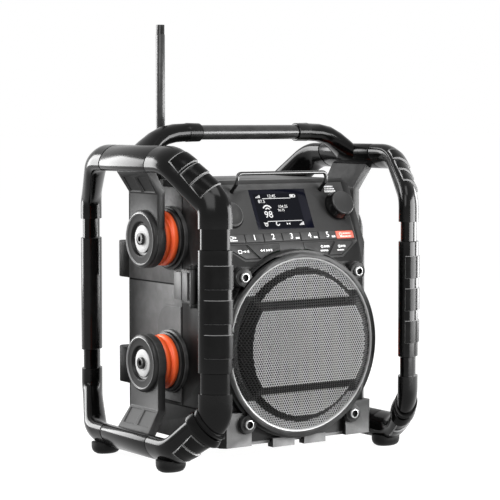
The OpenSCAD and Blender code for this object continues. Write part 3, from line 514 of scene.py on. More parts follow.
def raise_pads(shape, faces, height=PAD_PROUD, ends=None):
    """Lifts a patch of the tube's skin into a rubber pad, which may slope between its ends.

    The tube, the pad and the pad's edge are the first, second and third material; the edge's
    light grey is a painted highlight.
    """
    lips = bmesh.ops.inset_region(
        shape, faces=faces, thickness=PAD_LIP, depth=height, use_even_offset=True,
        use_boundary=True,
    )
    # The pad's side walls are painted light grey as a highlight
    for face in lips["faces"]:
        face.material_index = 2
    for face in faces:
        face.material_index = 1
    if ends:
        shape.normal_update()
        proud, flush = ends
        run = flush - proud
        for vert in {v for face in faces for v in face.verts}:
            share = (vert.co - proud).dot(run) / run.length_squared
            vert.co -= vert.normal * (height - PAD_THIN_END) * clamped(share)


def collar(z, inset_below, inset_above):
    """Heights and insets of the rings that make one step in a post."""
    if inset_below < inset_above:
        return [(z - 0.7, inset_below), (z - 0.1, (inset_below + inset_above) / 2.6),
                (z, inset_above)]
    return [(z, inset_below), (z + 0.1, (inset_below + inset_above) / 2.6),
            (z + 0.7, inset_above)]


def post_station(z, inset):
    return Station((POST_X, -POST_Y, z), (0, 0, 1), POST_FACE, inset)


PAD_LENGTH, PAD_PITCH, PAD_REACH = 23.4, 33.4, 0.6
BEND_RINGS, CHAMFER_RINGS = 10, 24


def post_shape(with_pads):
    """The sleeve between the corners with its two necks, and pads on its outer face."""
    low, high = SLEEVE_Z - SLEEVE_HALF, SLEEVE_Z + SLEEVE_HALF
    rings = [(CORNER_LOW_Z, NECK_INSET)] + collar(low, NECK_INSET, 0)
    pads = []
    if with_pads:
        for i in (-1, 0, 1):
            middle = SLEEVE_Z + i * PAD_PITCH
            pads.append((middle - PAD_LENGTH / 2, middle + PAD_LENGTH / 2))
            rings += [(pads[-1][0], 0), (pads[-1][1], 0)]
    rings += collar(high, 0, NECK_INSET) + [(CORNER_HIGH_Z, NECK_INSET)]
    shape = bmesh.new()
    stations = [post_station(z, inset) for z, inset in rings]
    bands = tube(shape, stations)
    for low_z, high_z in pads:
        patch = []
        for station, band in zip(stations, bands):
            if not low_z - 0.01 < station.centre.z < high_z - 0.01:
                continue
            for face in band:
                across, out = station.where(face.calc_center_median())
                if across < PAD_REACH and out > 0:
                    patch.append(face)
        raise_pads(shape, patch)
    return shape


def curve_point(a, b, c, t):
    """A point at t on the curve from a to c that leans towards b."""
    return (1 - t) ** 2 * a + 2 * t * (1 - t) * b + t * t * c


def rounded(a, b, c, reach):
    """Points round the corner b on the way from a to c."""
    start = b - reach * (b - a).normalized()
    end = b + reach * (c - b).normalized()
    return [curve_point(start, b, end, i / BEND_RINGS) for i in range(BEND_RINGS + 1)]


POST_BEND, RAIL_BEND = 11.0, 14.0


def corner_stations(foot_z, knee, run):
    """Rings from a height on the post, round both knees, to the top rail's joint."""
    foot = Vector((POST_X, -POST_Y, foot_z))
    knee_low = Vector((POST_X, -POST_Y, knee))
    knee_high = Vector((RAIL_X, -run, RAIL_HIGH_Z))
    tip = Vector((RAIL_X, -JOINT_Y, RAIL_HIGH_Z))
    lower = rounded(foot, knee_low, knee_high, POST_BEND)
    upper = rounded(knee_low, knee_high, tip, RAIL_BEND)
    gap = upper[0] - lower[-1]
    straight = [lower[-1] + gap * i / CHAMFER_RINGS for i in range(1, CHAMFER_RINGS)]
    path = [foot] + lower + straight + upper + [tip]
    stations = []
    for i, point in enumerate(path):
        before, after = path[max(i - 1, 0)], path[min(i + 1, len(path) - 1)]
        along = after - before
        if i == 0:
            along = Vector((0, 0, 1))
        if i == len(path) - 1:
            along = Vector((0, 1, 0))
        start = knee - POST_BEND
        rise = eased((point.z - start) / (RAIL_HIGH_Z - start))
        stations.append(Station(point, along, POST_FACE.lerp(RAIL_FACE, rise)))
    return stations


# The pads on the corners: how proud, how far round the tube, and shares of the chamfer
CHAMFER_PROUD, CHAMFER_REACH = 1.9, 0.27
UPPER_PADS = ((0.165, 0.415), (0.422, 0.672), (0.679, 0.93))
LOWER_PADS = ((0.425, 0.66), (0.668, 0.89))


def corner_shape(foot_z, knee, run, pads):
    """A corner of the cage, with pads given as (start, end) shares of its chamfer."""
    shape = bmesh.new()
    stations = corner_stations(foot_z, knee, run)
    low, high = Vector((POST_X, -POST_Y, knee)), Vector((RAIL_X, -run, RAIL_HIGH_Z))
    chord = high - low
    bands = tube(shape, stations)
    for start, end in pads:
        patch = []
        for station, after, band in zip(stations, stations[1:], bands):
            middle = (station.centre + after.centre) / 2
            share = (middle - low).dot(chord) / chord.length_squared
            if not start < share < end:
                continue
            for face in band:
                across, out = station.where(face.calc_center_median())
                if across < CHAMFER_REACH and out > 0:
                    patch.append(face)
        if patch:
            ends = (low + start * chord, low + end * chord)
            raise_pads(shape, patch, CHAMFER_PROUD, ends=ends)
    return shape


# The shoe round each lower bend: shares of the chamfer, and how far it stands out there
SHOE = ((0.1, 0.2), (0.105, 1.4), (0.13, 1.9), (0.17, 1.5), (0.185, 0.6), (0.2, 0.6),
        (0.21, 1.7), (0.27, 2.5), (0.34, 3.0), (0.375, 2.4), (0.38, 0.2))


def shoe_shape():
    """A ribbed rubber shoe that flares round a lower bend, drawn at the top of the cage."""
    low = Vector((POST_X, -POST_Y, 2 * CAGE_MID_Z - LOWER_KNEE_Z))
    high = Vector((RAIL_X, -LOWER_RUN, RAIL_HIGH_Z))
    chord = high - low
    stations = []
    for share, proud in SHOE:
        point = low + share * chord
        start = low.z - POST_BEND
        rise = eased((point.z - start) / (RAIL_HIGH_Z - start))
        station = Station(point, chord, POST_FACE.lerp(RAIL_FACE, rise), -proud)
        station.broad += 0.6 * proud
        station.centre -= 0.5 * proud * station.across
        stations.append(station)
    shape = bmesh.new()
    tube(shape, stations)
    return shape


# The lower corner is drawn at the top of the cage and then flipped down
LOWER_CORNER = (2 * CAGE_MID_Z - CORNER_LOW_Z, 2 * CAGE_MID_Z - LOWER_KNEE_Z, LOWER_RUN)


def add_frame_side(side):
    """All the tubes of the left or right frame."""
    padded = [TUBE, PAD, PAD_EDGE_HIGHLIGHT]
    turn_over = to_left if side == "left" else (lambda shape: shape)
    add_piece(side + "_post_form", turn_over(post_shape(True)), padded,
              node=side + "_front_post")
    upper = corner_shape(CORNER_HIGH_Z, UPPER_KNEE_Z, UPPER_RUN, UPPER_PADS)
    add_piece(side + "_upper_corner_form", turn_over(upper), padded,
              node=side + "_upper_front_corner")
    lower = flipped(corner_shape(*LOWER_CORNER, LOWER_PADS), Z, CAGE_MID_Z)
    add_piece(side + "_lower_corner_form", turn_over(lower), padded,
              node=side + "_lower_front_corner")
    add_piece(side + "_rear_post_form", turn_over(flipped(rear_post_shape(), Y)), [TUBE],
              node=side + "_rear_post")
    shoe = turn_over(flipped(shoe_shape(), Z, CAGE_MID_Z))
    add_piece(side + "_shoe", shoe, [PAD], body="radio")
    add_piece(side + "_bottom_rail_form", turn_over(flipped(rail_shape(), Z, CAGE_MID_Z)), [TUBE],
              node=side + "_bottom_rail")
    add_piece(side + "_bracket_form", turn_over(bracket_shape()), [TUBE],
              node=side + "_handle_bracket")


def rear_post_shape():
    """The rear post in one piece with both of its corners, drawn at the front."""
    shape = post_shape(False)
    tube(shape, corner_stations(CORNER_HIGH_Z, UPPER_KNEE_Z, UPPER_RUN))
    lower = bmesh.new()
    tube(lower, corner_stations(*LOWER_CORNER))
    merge_into(shape, flipped(lower, Z, CAGE_MID_Z))
    return shape


def merge_into(shape, other):
    """Adds all of another shape, which is used up."""
    spare = bpy.data.meshes.new("spare")
    other.to_mesh(spare)
    other.free()
    shape.from_mesh(spare)
    bpy.data.meshes.remove(spare)


def rail_station(y, inset):
    return Station((RAIL_X, y, RAIL_HIGH_Z), (0, 1, 0), RAIL_FACE, inset)


RAIL_HALF = JOINT_Y - 0.9


def rail_shape():
    """A length of rail with a rounded lip at each end and a step near it."""
    shape = bmesh.new()
    half = [(RAIL_HALF, 0.9), (RAIL_HALF - 0.5, 0.2), (RAIL_HALF - 1.2, 0)]
    rings = half + [(-y, inset) for y, inset in reversed(half)]
    tube(shape, [rail_station(-y, inset) for y, inset in rings])
    return shape


HANDLE_Z, HANDLE_BARE = 334.8, 122.0
HANDLE_H, HANDLE_D = 15.1, 18.0


def bracket_shape():
    """A length of top rail, and the neck that rises from it to the carrying bar."""
    shape = rail_shape()
    end = HANDLE_BARE / 2
    depth = HANDLE_D / 2
    # X, Z, half depth and half thickness of each ring
    neck = [
        (end, HANDLE_Z, depth + 0.9, 8.9), (end + 0.5, HANDLE_Z, depth + 1.5, 9.5),
        (end + 15, HANDLE_Z, depth + 1.2, 9.8), (end + 15.6, HANDLE_Z, depth + 0.7, 9.3),
        (end + 30, HANDLE_Z - 0.8, depth + 1.5, 9.5),
        (end + 42, HANDLE_Z - 3.4, depth + 2.8, 9.8),
        (end + 52, HANDLE_Z - 8.5, depth + 5.2, 9.8),
        (end + 61, HANDLE_Z - 15, depth + 8.8, 9.4),
        (end + 69, HANDLE_Z - 21.5, depth + 12.5, 8.6), (RAIL_X - 5, RAIL_HIGH_Z, 24.5, 7),
    ]
    stations = []
    for i, (x, z, half_depth, half_thick) in enumerate(neck):
        before, after = neck[max(i - 1, 0)], neck[min(i + 1, len(neck) - 1)]
        along = (1, 0, 0) if i < 2 else (after[0] - before[0], 0, after[1] - before[1])
        stations.append(Station((x, 0, z), along, (0, 0, 1), broad=half_depth, thin=half_thick))
    tube(shape, stations)
    return shape


def add_handle_bar():
    """The carrying bar, a little shorter than the gap between its brackets."""
    shape = bmesh.new()
    half = HANDLE_BARE / 2 - 0.2
    rings = [(-half, 0.8), (-half + 0.8, 0), (half - 0.8, 0), (half, 0.8)]
    tube(shape, [Station((x, 0, HANDLE_Z), (1, 0, 0), (0, 0, 1), inset,
                         HANDLE_D / 2, HANDLE_H / 2) for x, inset in rings])
    add_piece("handle_bar_form", shape, [HANDLE], node="handle_bar")


for side_name in ("left", "right"):
    add_frame_side(side_name)
add_handle_bar()

FOOT_X, FOOT_Y = 135.5, 64.0
# How far each foot is drawn out to both sides in X, and how far out that is complete
FOOT_DRAWN, FOOT_DRAWN_AT = 2.5, 6.0


def add_feet():
    """Domed rubber feet under the lower corners."""
    profile = [(0, 0), (5, 0), (8, 0.5), (10.4, 1.8), (12, 3.8), (12.8, 6.2), (13, 8.6),
               (13, 12), (0, 12)]
    shape = bmesh.new()
    for x in (-1, 1):
        for y in (-1, 1):
            made = lathe(shape, profile, Matrix(), 48)
            for vert in made:
                share = max(-1.0, min(1.0, vert.co.x / FOOT_DRAWN_AT))
                vert.co.x += FOOT_DRAWN * share + x * FOOT_X
                vert.co.y += y * FOOT_Y
    add_piece("cage_feet_form", shape, [RUBBER], node="cage_feet", crease=40)


add_feet()

# --- Shock mounts ---------------------------------------------------------------------

BODY_X = 94.0
ISOLATOR_X, ARM_IN_X, ARM_OUT_X = 102.0, 118.5, 127.3
MOUNT_MID_Z, MOUNT_HALF = 164.2, 63.2
BORE_R, DISC_R, ISOLATOR_R = 4.2, 29.5, 28.0
# The disc's sunk face lies between the first two radii, its bead up to the third; the bead's pale
# grey is a painted highlight
FACE_IN_R, FACE_OUT_R, BEAD_R = 18.0, 25.3, 26.8


def at_mounts(profile, x):
    """A ring at all four mounts, turned from a profile that starts at x and runs outwards."""
    shape = bmesh.new()
    for sign in (-1, 1):
        for z in (MOUNT_MID_Z - MOUNT_HALF, MOUNT_MID_Z + MOUNT_HALF):
            lathe(shape, profile + profile[:1], facing((sign * x, 0, z), (sign, 0, 0)))
    return shape


def add_end_discs():
    """Discs outside the arms, each with a sunk face inside a raised bead."""
    disc = [(BORE_R, 0), (DISC_R - 0.8, 0), (DISC_R - 0.2, 0.3), (DISC_R, 0.9), (DISC_R, 2.6),
            (DISC_R - 0.6, 3.7), (DISC_R - 1.8, 4.6), (26.6, 5.1), (26.1, 5.2), (25.7, 4.9),
            (25.5, 4.3), (25.2, 4.1), (19.0, 4.1), (18.2, 4.0), (17.6, 3.4), (16.4, 1.2),
            (15.6, 0.9), (BORE_R, 0.9)]
    discs = at_mounts(disc, ARM_OUT_X)
    # Faces between FACE_OUT_R and BEAD_R take the bead's pale grey, a painted highlight
    for face in discs.faces:
        middle = face.calc_center_median()
        level = MOUNT_HALF if middle.z > MOUNT_MID_Z else -MOUNT_HALF
        radius = hypot(middle.y, middle.z - MOUNT_MID_Z - level)
        if abs(middle.x) <= ARM_OUT_X + 3:
            continue
        if FACE_IN_R < radius < FACE_OUT_R:
            face.material_index = 1
        elif FACE_OUT_R < radius < BEAD_R:
            face.material_index = 2
    add_piece("end_discs_form", discs, [DISC, DISC_FACE, BEAD], node="end_discs", crease=40)


def add_isolators():
    """Waisted rubber between the flanges on the cabinet and the arms."""
    r = ISOLATOR_R
    waist = [(BORE_R, 0), (r - 1.6, 0), (r - 0.4, 0.06), (r, 0.12), (r, 0.26), (r - 0.5, 0.34),
             (r - 2.2, 0.39), (r - 3, 0.44), (r - 3, 0.5), (r - 2.2, 0.55), (r - 0.9, 0.6),
             (r - 0.4, 0.67), (r - 0.4, 0.82), (r - 1, 0.9), (r - 2.4, 0.96), (r - 4, 1.0),
             (BORE_R, 1.0)]
    length = ARM_IN_X - ISOLATOR_X
    rubber = [(radius, share * length) for radius, share in waist]
    add_piece("rubber_isolators_form", at_mounts(rubber, ISOLATOR_X), [ORANGE],
              node="rubber_isolators", crease=50)


def add_flanges_and_washers():
    """Stepped flanges on the cabinet's sides, and the cast washers in the discs."""
    flange = [(BORE_R, 0.6), (BORE_R, 8), (28.5, 8), (29.6, 7.8), (30, 7.2), (30, 5.2),
              (30.3, 4.7), (31, 4.5), (31.9, 4.4), (32.5, 3.8), (32.5, 0.3), (32.2, 0), (8, 0),
              (8, 0.6)]
    add_piece("isolator_flanges_form", at_mounts(flange, BODY_X), [DISC],
              node="isolator_flanges", crease=40)
    washer = [(BORE_R, 0), (13.8, 0), (14, 0.2), (14, 0.9), (13.6, 1.2), (4.6, 1.2),
              (BORE_R, 0.9)]
    add_piece("disc_washers_form", at_mounts(washer, ARM_OUT_X + 0.9), [WASHER],
              node="disc_washers", crease=40)


def add_arm(node, web):
    """A carrier arm whose leaning web takes its own colour: painted shade on the upper arms,
    painted light on the lower ones.
    """
    shape = from_cad(node)
    shape.normal_update()
    for face in shape.faces:
        # The web's faces lean both upwards and sideways; their colour is painted shade on the
        # upper arms and painted light on the lower ones
        if abs(face.normal.z) > 0.15 and abs(face.normal.x) > 0.3:
            face.material_index = 1
    add_piece(node + "_form", shape, [ARM, web], node=node, bevel=0.7, outwards=False)


add_end_discs()
add_isolators()
add_flanges_and_washers()
dressed("disc_bolts", BOLT, bevel=0.35)
for side_name in ("left", "right"):
    add_arm(side_name + "_upper_arm", ARM_SHADE)
    add_arm(side_name + "_lower_arm", ARM_WEB_LIT)

# --- Cabinet --------------------------------------------------------------------------


def add_dark_sided(node, material, bevel):
    """A shell whose side faces are coloured near-black."""
    shape = from_cad(node)
    shape.normal_update()
    for face in shape.faces:
        if abs(face.normal.x) > 0.7:
            face.material_index = 1
    add_piece(node + "_form", shape, [material, FLANK], node=node, bevel=bevel, outwards=False)


add_dark_sided("front_housing", HOUSING, 0.9)
dressed("rear_housing", HOUSING, bevel=1.2)
dressed("battery_housing", HOUSING, bevel=0.9)
add_dark_sided("base_skirt", SKIRT, 1.1)
dressed("battery_door", HOUSING, bevel=0.5)
dressed("door_catch", LATCH, bevel=0.3)
dressed("jack_cover", RUBBER, bevel=0.6)
dressed("rear_bumpers", RUBBER, bevel=1.4, steps=3)
dressed("left_latch", LATCH, bevel=0.5)
dressed("right_latch", LATCH, bevel=0.5)
dressed("battery_cells", CELL, bevel=0.6)


def place_on_side(sign, y, z):
    """Where a point of the side wall lies on the plane that faces outwards there."""
    local = facing((0, 0, 0), (sign, 0, 0)).inverted() @ Vector((0, y, z))
    return local.x, local.y


SEAM_Y, SEAM_Z, SKIRT_Z, REAR_Y = -20.5, 180.0, 56.6, 83.6
SEAM_PROUD, FIELD_PROUD = 0.12, 1.1
# Joint lines on each side wall, from their low to their high corners in Y and Z
SIDE_SEAMS = (
    ((SEAM_Y, SEAM_Z - 0.8), (REAR_Y, SEAM_Z + 0.8)),
    ((SEAM_Y - 0.7, SKIRT_Z), (SEAM_Y + 0.7, 278)),
    ((-78, SKIRT_Z - 0.7), (REAR_Y, SKIRT_Z + 0.7)),
    ((SEAM_Y + 4, 279.6), (16, 286)),
)
FIELD_OUTLINE = [(-19, 60), (26, 60), (26, 132)] + arc(4, 136, 22, 0, 90, 8) + [(-19, 158)]


def add_seams():
    """Joint lines between the shells in painted shadow, and the raised field round each lower
    mount.
    """
    seams = bmesh.new()
    fields = bmesh.new()
    for sign in (-1, 1):
        inner, outer = sorted((sign * BODY_X, sign * (BODY_X + SEAM_PROUD)))
        for (y0, z0), (y1, z1) in SIDE_SEAMS:
            box(seams, (inner, y0, z0), (outer, y1, z1))
        place = facing((sign * BODY_X, 0, 0), (sign, 0, 0))
        outline = [place_on_side(sign, y, z) for y, z in FIELD_OUTLINE]
        extruded(fields, outline, place, FIELD_PROUD)
    add_piece("cabinet_seams", seams, [SEAM], body="radio")
    add_piece("side_fields", fields, [HOUSING], body="radio",
              bevel=0.6)


add_seams()

# --- Speaker --------------------------------------------------------------------------

SPEAKER_Z = 121.0
GRILLE_R = 88.0
RING_FRONT = 99.7
DRUM_FRONT, DRUM_DEPTH = 95.0, 15.0
DRUM_R, DRUM_IN_R = 95.5, 86.0


def speaker_place(y):
    return facing((0, y, SPEAKER_Z), (0, -1, 0))


# The perforated sheet: pitch of its holes, half the web between two of them, thickness
HOLE_PITCH, HALF_WEB, SHEET_T = 2.75, 0.41, 0.7
# How far the sheet's edge lies behind the ring's front
SHEET_SUNK = 1.4
# The low dome and the band across it: how far they rise, and where their slopes run
LOBE_UP, LOBE_R, LOBE_FOOT = 6.0, 72.0, 78.0
BAND_UP, BAND_HALF, BAND_FOOT = 13.6, 38.3, 53.0
BAND_R, BAND_FOOT_R = 69.5, GRILLE_R - 2.5


def grille_rise(x, z):
    """How far the pressed sheet stands out from its rim."""
    radius = hypot(x, z)
    lobe = LOBE_UP * clamped((LOBE_FOOT - radius) / (LOBE_FOOT - LOBE_R))
    up = clamped((BAND_FOOT - abs(z)) / (BAND_FOOT - BAND_HALF))
    out = clamped((BAND_FOOT_R - radius) / (BAND_FOOT_R - BAND_R))
    band = BAND_UP * min(up, out) if abs(z) > BAND_HALF else BAND_UP * out
    return max(lobe, band)


def add_grille():
    """Perforated sheet: hexagon cells with their middles punched out, pressed to form."""
    shape = bmesh.new()
    radius = HOLE_PITCH / sqrt(3)
    rows = int(GRILLE_R / (1.5 * radius)) + 2
    columns = int(GRILLE_R / HOLE_PITCH) + 2
    for row in range(-rows, rows + 1):
        for column in range(-columns, columns + 1):
            x = (column + (row % 2) / 2) * HOLE_PITCH
            z = row * 1.5 * radius
            if hypot(x, z) > GRILLE_R - 1.5:
                continue
            place = Matrix.Translation((x, z, 0)) @ Matrix.Rotation(pi / 6, 4, "Z")
            bmesh.ops.create_circle(
                shape, cap_ends=True, segments=6, radius=radius, matrix=place
            )
    bmesh.ops.remove_doubles(shape, verts=shape.verts, dist=0.02)
    cells = shape.faces[:]
    bmesh.ops.inset_individual(shape, faces=cells, thickness=HALF_WEB)
    bmesh.ops.delete(shape, geom=cells, context="FACES")
    for vert in shape.verts:
        vert.co.z = grille_rise(vert.co.x, vert.co.y)
    bmesh.ops.transform(
        shape, matrix=speaker_place(-RING_FRONT + SHEET_SUNK), verts=shape.verts
    )
    shape.normal_update()
    # Faces that turn away from the front take the darker copy as painted shade; the front faces
    # keep the light grey as painted sheen
    for face in shape.faces:
        face.material_index = 1 if abs(face.normal.y) < 0.9 else 0
    piece = add_piece("speaker_grille_form", shape, [GRILLE, GRILLE_SLOPE_SHADE], node="speaker_grille",
                      crease=80, outwards=False)
    wall = piece.modifiers.new("sheet", "SOLIDIFY")
    wall.thickness = SHEET_T * MM
    wall.offset = -1


RIM_PROUD = 1.9


def add_rim():
    """The round rim that holds the sheet, level with the ring's front; its light grey is a
    painted highlight.
    """
    rim = bmesh.new()
    profile = [(86.2, 0.4), (87.2, 1.5), (88.4, RIM_PROUD), (89.8, 1.6), (90.6, 0.6),
               (90.6, -1), (86.2, -1)]
    lathe(rim, profile + profile[:1], speaker_place(-RING_FRONT + RIM_PROUD), 120)
    add_piece("grille_rim", rim, [RIM], body="radio", crease=60)


# The ears' faces, and the places of the upper and lower screws in X and Z
EAR_FRONT = 98.3
UPPER_SCREW, LOWER_SCREW = (70.8, 192.2), (65.7, 45.0)
SOCKET_R = 3.4


def add_screws():
    """Socket screws in the ring's ears: a bright rim round a socket painted black as shade."""
    shape = bmesh.new()
    profile = [(0, 0.5), (3.3, 0.5), (SOCKET_R, 2.5), (3.7, 2.95), (4.5, 2.95), (4.9, 2.5),
               (4.9, 0)]
    for sign in (-1, 1):
        for x, z in (UPPER_SCREW, LOWER_SCREW):
            lathe(shape, profile, facing((sign * x, -EAR_FRONT, z), (0, -1, 0)), 32)
    # The socket's faces are painted near-black as shade in the recess
    for face in shape.faces:
        middle = face.calc_center_median()
        x, z = UPPER_SCREW if middle.z > SPEAKER_Z else LOWER_SCREW
        if hypot(abs(middle.x) - x, middle.z - z) < SOCKET_R + 0.02:
            face.material_index = 1
    add_piece("grille_screws_form", shape, [CHROME, SOCKET], node="grille_screws", crease=50)


def add_drum_collar():
    """The drum's top behind the ring, where the keys of the panel end."""
    shape = bmesh.new()
    outline = arc(0, 0, DRUM_R, 36, 144, 48) + arc(0, 0, DRUM_IN_R, 144, 36, 48)
    extruded(shape, outline, speaker_place(-DRUM_FRONT + DRUM_DEPTH), DRUM_DEPTH)
    add_piece("drum_collar", shape, [HOUSING], body="radio",
              bevel=0.6)


add_grille()
dressed("grille_ring", RING, bevel=0.5)
add_rim()
add_screws()
dressed("speaker_frame", BASKET, bevel=0.3)
dressed("speaker_cone", CONE, bevel=0.2)

# --- Control panel --------------------------------------------------------------------

PANEL_LEAN = radians(25.6)
PANEL_AT = Vector((0, -71.1, 237.3))


def panel_place(x, v, out=0.0):
    """A place on the control panel: X across, Y up the panel, Z out of it."""
    turned = Matrix.Rotation(pi / 2 - PANEL_LEAN, 4, "X")
    return Matrix.Translation(PANEL_AT) @ turned @ Matrix.Translation((x, v, out))


KEY_PITCH = 22.85
KEY_ROW_X = 2.3
KEY_MID_V = -9.4
KEY_TOP, LOWER_KEY_TOP = 0.7, 0.5


def add_marks(name, parts, place, body, material, lift=0.05):
    """Flat printed marks: each part is a list of outline points in millimetres."""
    shape = bmesh.new()
    for outline in parts:
        verts = [shape.verts.new((x, y, 0)) for x, y in outline]
        shape.faces.new(verts)
    grown = bmesh.ops.extrude_face_region(shape, geom=shape.faces[:])
    top = [g for g in grown["geom"] if isinstance(g, bmesh.types.BMVert)]
    bmesh.ops.translate(shape, vec=(0, 0, lift), verts=top)
    bmesh.ops.transform(shape, matrix=place, verts=shape.verts)
    return add_piece(name, shape, [material], body=body)


def bar(x0, y0, x1, y1):
    """A filled rectangle between two corners."""
    return [(x0, y0), (x1, y0), (x1, y1), (x0, y1)]


def stroke(points, width):
    """Quads along a line of points, for a thin drawn mark."""
    quads = []
    for (ax, ay), (bx, by) in zip(points, points[1:]):
        length = hypot(bx - ax, by - ay)
        nx, ny = -(by - ay) / length * width / 2, (bx - ax) / length * width / 2
        quads.append([(ax + nx, ay + ny), (ax - nx, ay - ny),
                      (bx - nx, by - ny), (bx + nx, by + ny)])
    return quads


def ring_mark(cx, cy, r, width):
    return stroke(arc(cx, cy, r, 0, 360, 16), width)


def frame_mark(x0, y0, x1, y1, width):
    return stroke([(x0, y0), (x1, y0), (x1, y1), (x0, y1), (x0, y0)], width)


def arrow_head(x, y, size, way=1):
    """A filled triangle that points right, or left with way -1."""
    points = [(x, y - size), (x + way * 1.6 * size, y), (x, y + size)]
    return points if way > 0 else points[::-1]


def dashes(x0, x1, y, height, widths=(1.5, 0.9, 1.9, 1.2), gap=0.45):
    """A row of short bars, as small print looks from afar."""
    marks, x, i = [], x0, 0
    while x < x1 - 0.3:
        end = min(x + widths[i % len(widths)], x1)
        marks.append(bar(x, y - height / 2, end, y + height / 2))
        x, i = end + gap, i + 1
    return marks


def digit_mesh(text, size):
    """A plain numeral as flat outlines turned into a mesh."""
    curve = bpy.data.curves.new("numeral", "FONT")
    curve.body = text
    curve.size = size
    curve.align_x = "CENTER"
    curve.align_y = "CENTER"
    curve.extrude = 0.02
    curve.offset = 0.004 * size
    helper = bpy.data.objects.new("numeral", curve)
    bpy.context.collection.objects.link(helper)
    bpy.context.view_layer.update()
    mesh = bpy.data.meshes.new_from_object(helper)
    bpy.data.objects.remove(helper)
    shape = bmesh.new()
    shape.from_mesh(mesh)
    bpy.data.meshes.remove(mesh)
    return shape


def add_numeral(name, text, size, place, body, material):
    shape = digit_mesh(text, size)
    bmesh.ops.transform(shape, matrix=place, verts=shape.verts)
    add_piece(name, shape, [material], body=body)


def key_middle(i):
    """Middle of key i of the row in X: 0 for the page key, 6 for the power key."""
    return KEY_ROW_X + (i - 3) * KEY_PITCH


def add_keys():
    """The keys with their joint lines in painted shadow, numbers and icons."""
    for node in ["page_key"] + [f"preset_key_{n}" for n in range(1, 6)]:
        dressed(node, KEY, bevel=0.3)
    dressed("power_key", POWER, bevel=0.8, steps=3)
    for node in ("source_key", "seek_key", "alarm_key", "info_key"):
        dressed(node, KEY, bevel=0.3)
    for n in range(1, 6):
        place = panel_place(key_middle(n) + 0.6, KEY_MID_V + 0.4, KEY_TOP + 0.02)
        add_numeral(f"numeral_{n}", str(n), 8.6, place, f"preset_key_{n}", LEGEND)
        # A dark bar at the key's left edge, painted shadow of the gap beside it
        joint = bar(key_middle(n) - 11.2, -13.3, key_middle(n) - 10.4, -5.4)
        add_marks(f"key_joint_{n}", [joint], panel_place(0, 0, KEY_TOP), f"preset_key_{n}",
                  SEAM)
    # Dark strokes along the slanted joints of these keys, painted shadow of the grooves
    for node, sign in (("source_key", -1), ("info_key", 1)):
        joint = stroke([(sign * 55.8, -16.9), (sign * 44, -30.9)], 0.7)
        add_marks(node + "_joint", joint, panel_place(0, 0, LOWER_KEY_TOP), node,
                  SEAM)
    for n in (3, 4, 5):
        place = panel_place(key_middle(n) + 7.6, KEY_MID_V - 1.8, KEY_TOP)
        add_marks(f"play_mark_{n}", [bar(-2.2, -0.9, -0.4, 0.9), bar(0.2, -0.9, 2.2, 0.9)],
                  place, f"preset_key_{n}", LEGEND)
    page_x = key_middle(0) - 2.3
    page = frame_mark(page_x - 3.6, 0.1, page_x - 0.6, 3, 0.55)
    page += [bar(page_x + 0.4, 0.3, page_x + 1.2, 2.8), arrow_head(page_x + 2, 1.5, 1.2)]
    page += dashes(page_x - 4.4, page_x + 4.4, -1.6, 1.2)
    add_marks("page_mark", page, panel_place(0, KEY_MID_V - 0.4, KEY_TOP), "page_key",
              LEGEND)
    power_x = key_middle(6)
    power = stroke(arc(power_x - 5.4, KEY_MID_V + 0.6, 1.7, 125, 415, 12), 0.6)
    power += [bar(power_x - 5.7, KEY_MID_V + 0.9, power_x - 5.1, KEY_MID_V + 3)]
    power += dashes(power_x - 2.4, power_x + 7.4, KEY_MID_V + 1.2, 1.3)
    power += dashes(power_x - 6.6, power_x + 7.4, KEY_MID_V - 2.2, 1.3)
    add_marks("power_mark", power, panel_place(0, 0, KEY_TOP), "power_key",
              POWER_INK)
    for node, marks in lower_key_marks().items():
        add_marks(node + "_mark", marks, panel_place(0, 0, LOWER_KEY_TOP), node,
                  LEGEND)


def lower_key_marks():
    """Printed icons of the four keys of the lower row, in the panel's own coordinates."""
    source = frame_mark(-66.4, -25, -62.6, -21.8, 0.6)
    source += [bar(-61.6, -23.7, -58.6, -23.1), arrow_head(-58.8, -23.4, 1.3)]
    source += dashes(-55.6, -53.4, -23.4, 2.4, (0.7, 0.7), 0.5)
    seek = [arrow_head(-37.6, -23, 1.5, -1), arrow_head(-34.6, -23, 1.5, -1)]
    seek += [arrow_head(-32.6, -23, 1.5), arrow_head(-29.8, -23, 1.5)]
    seek += dashes(-27, -24.6, -23, 2.6, (0.6, 0.6), 0.5)
    alarm = ring_mark(37.6, -21.8, 1.3, 0.6) + [bar(37.4, -21.9, 37.9, -20.6)]
    alarm += dashes(40.2, 47.4, -21.8, 2.2, (1.3, 0.8, 1.6), 0.5)
    alarm += dashes(34.6, 44.2, -26.2, 1.7)
    info = ring_mark(59.6, -22.2, 1.4, 0.6) + [bar(59.3, -23, 59.9, -21.4)]
    info += dashes(61.8, 67.6, -22.2, 2.2, (1.3, 0.8, 1.6), 0.5)
    info += dashes(56, 64.4, -26.4, 1.4)
    return {"source_key": source, "seek_key": seek, "alarm_key": alarm, "info_key": info}


SCREEN_LEFT, SCREEN_RIGHT, SCREEN_LOW, SCREEN_HIGH = -31.0, 24.6, 0.6, 38.8
LENS_TOP = 0.03


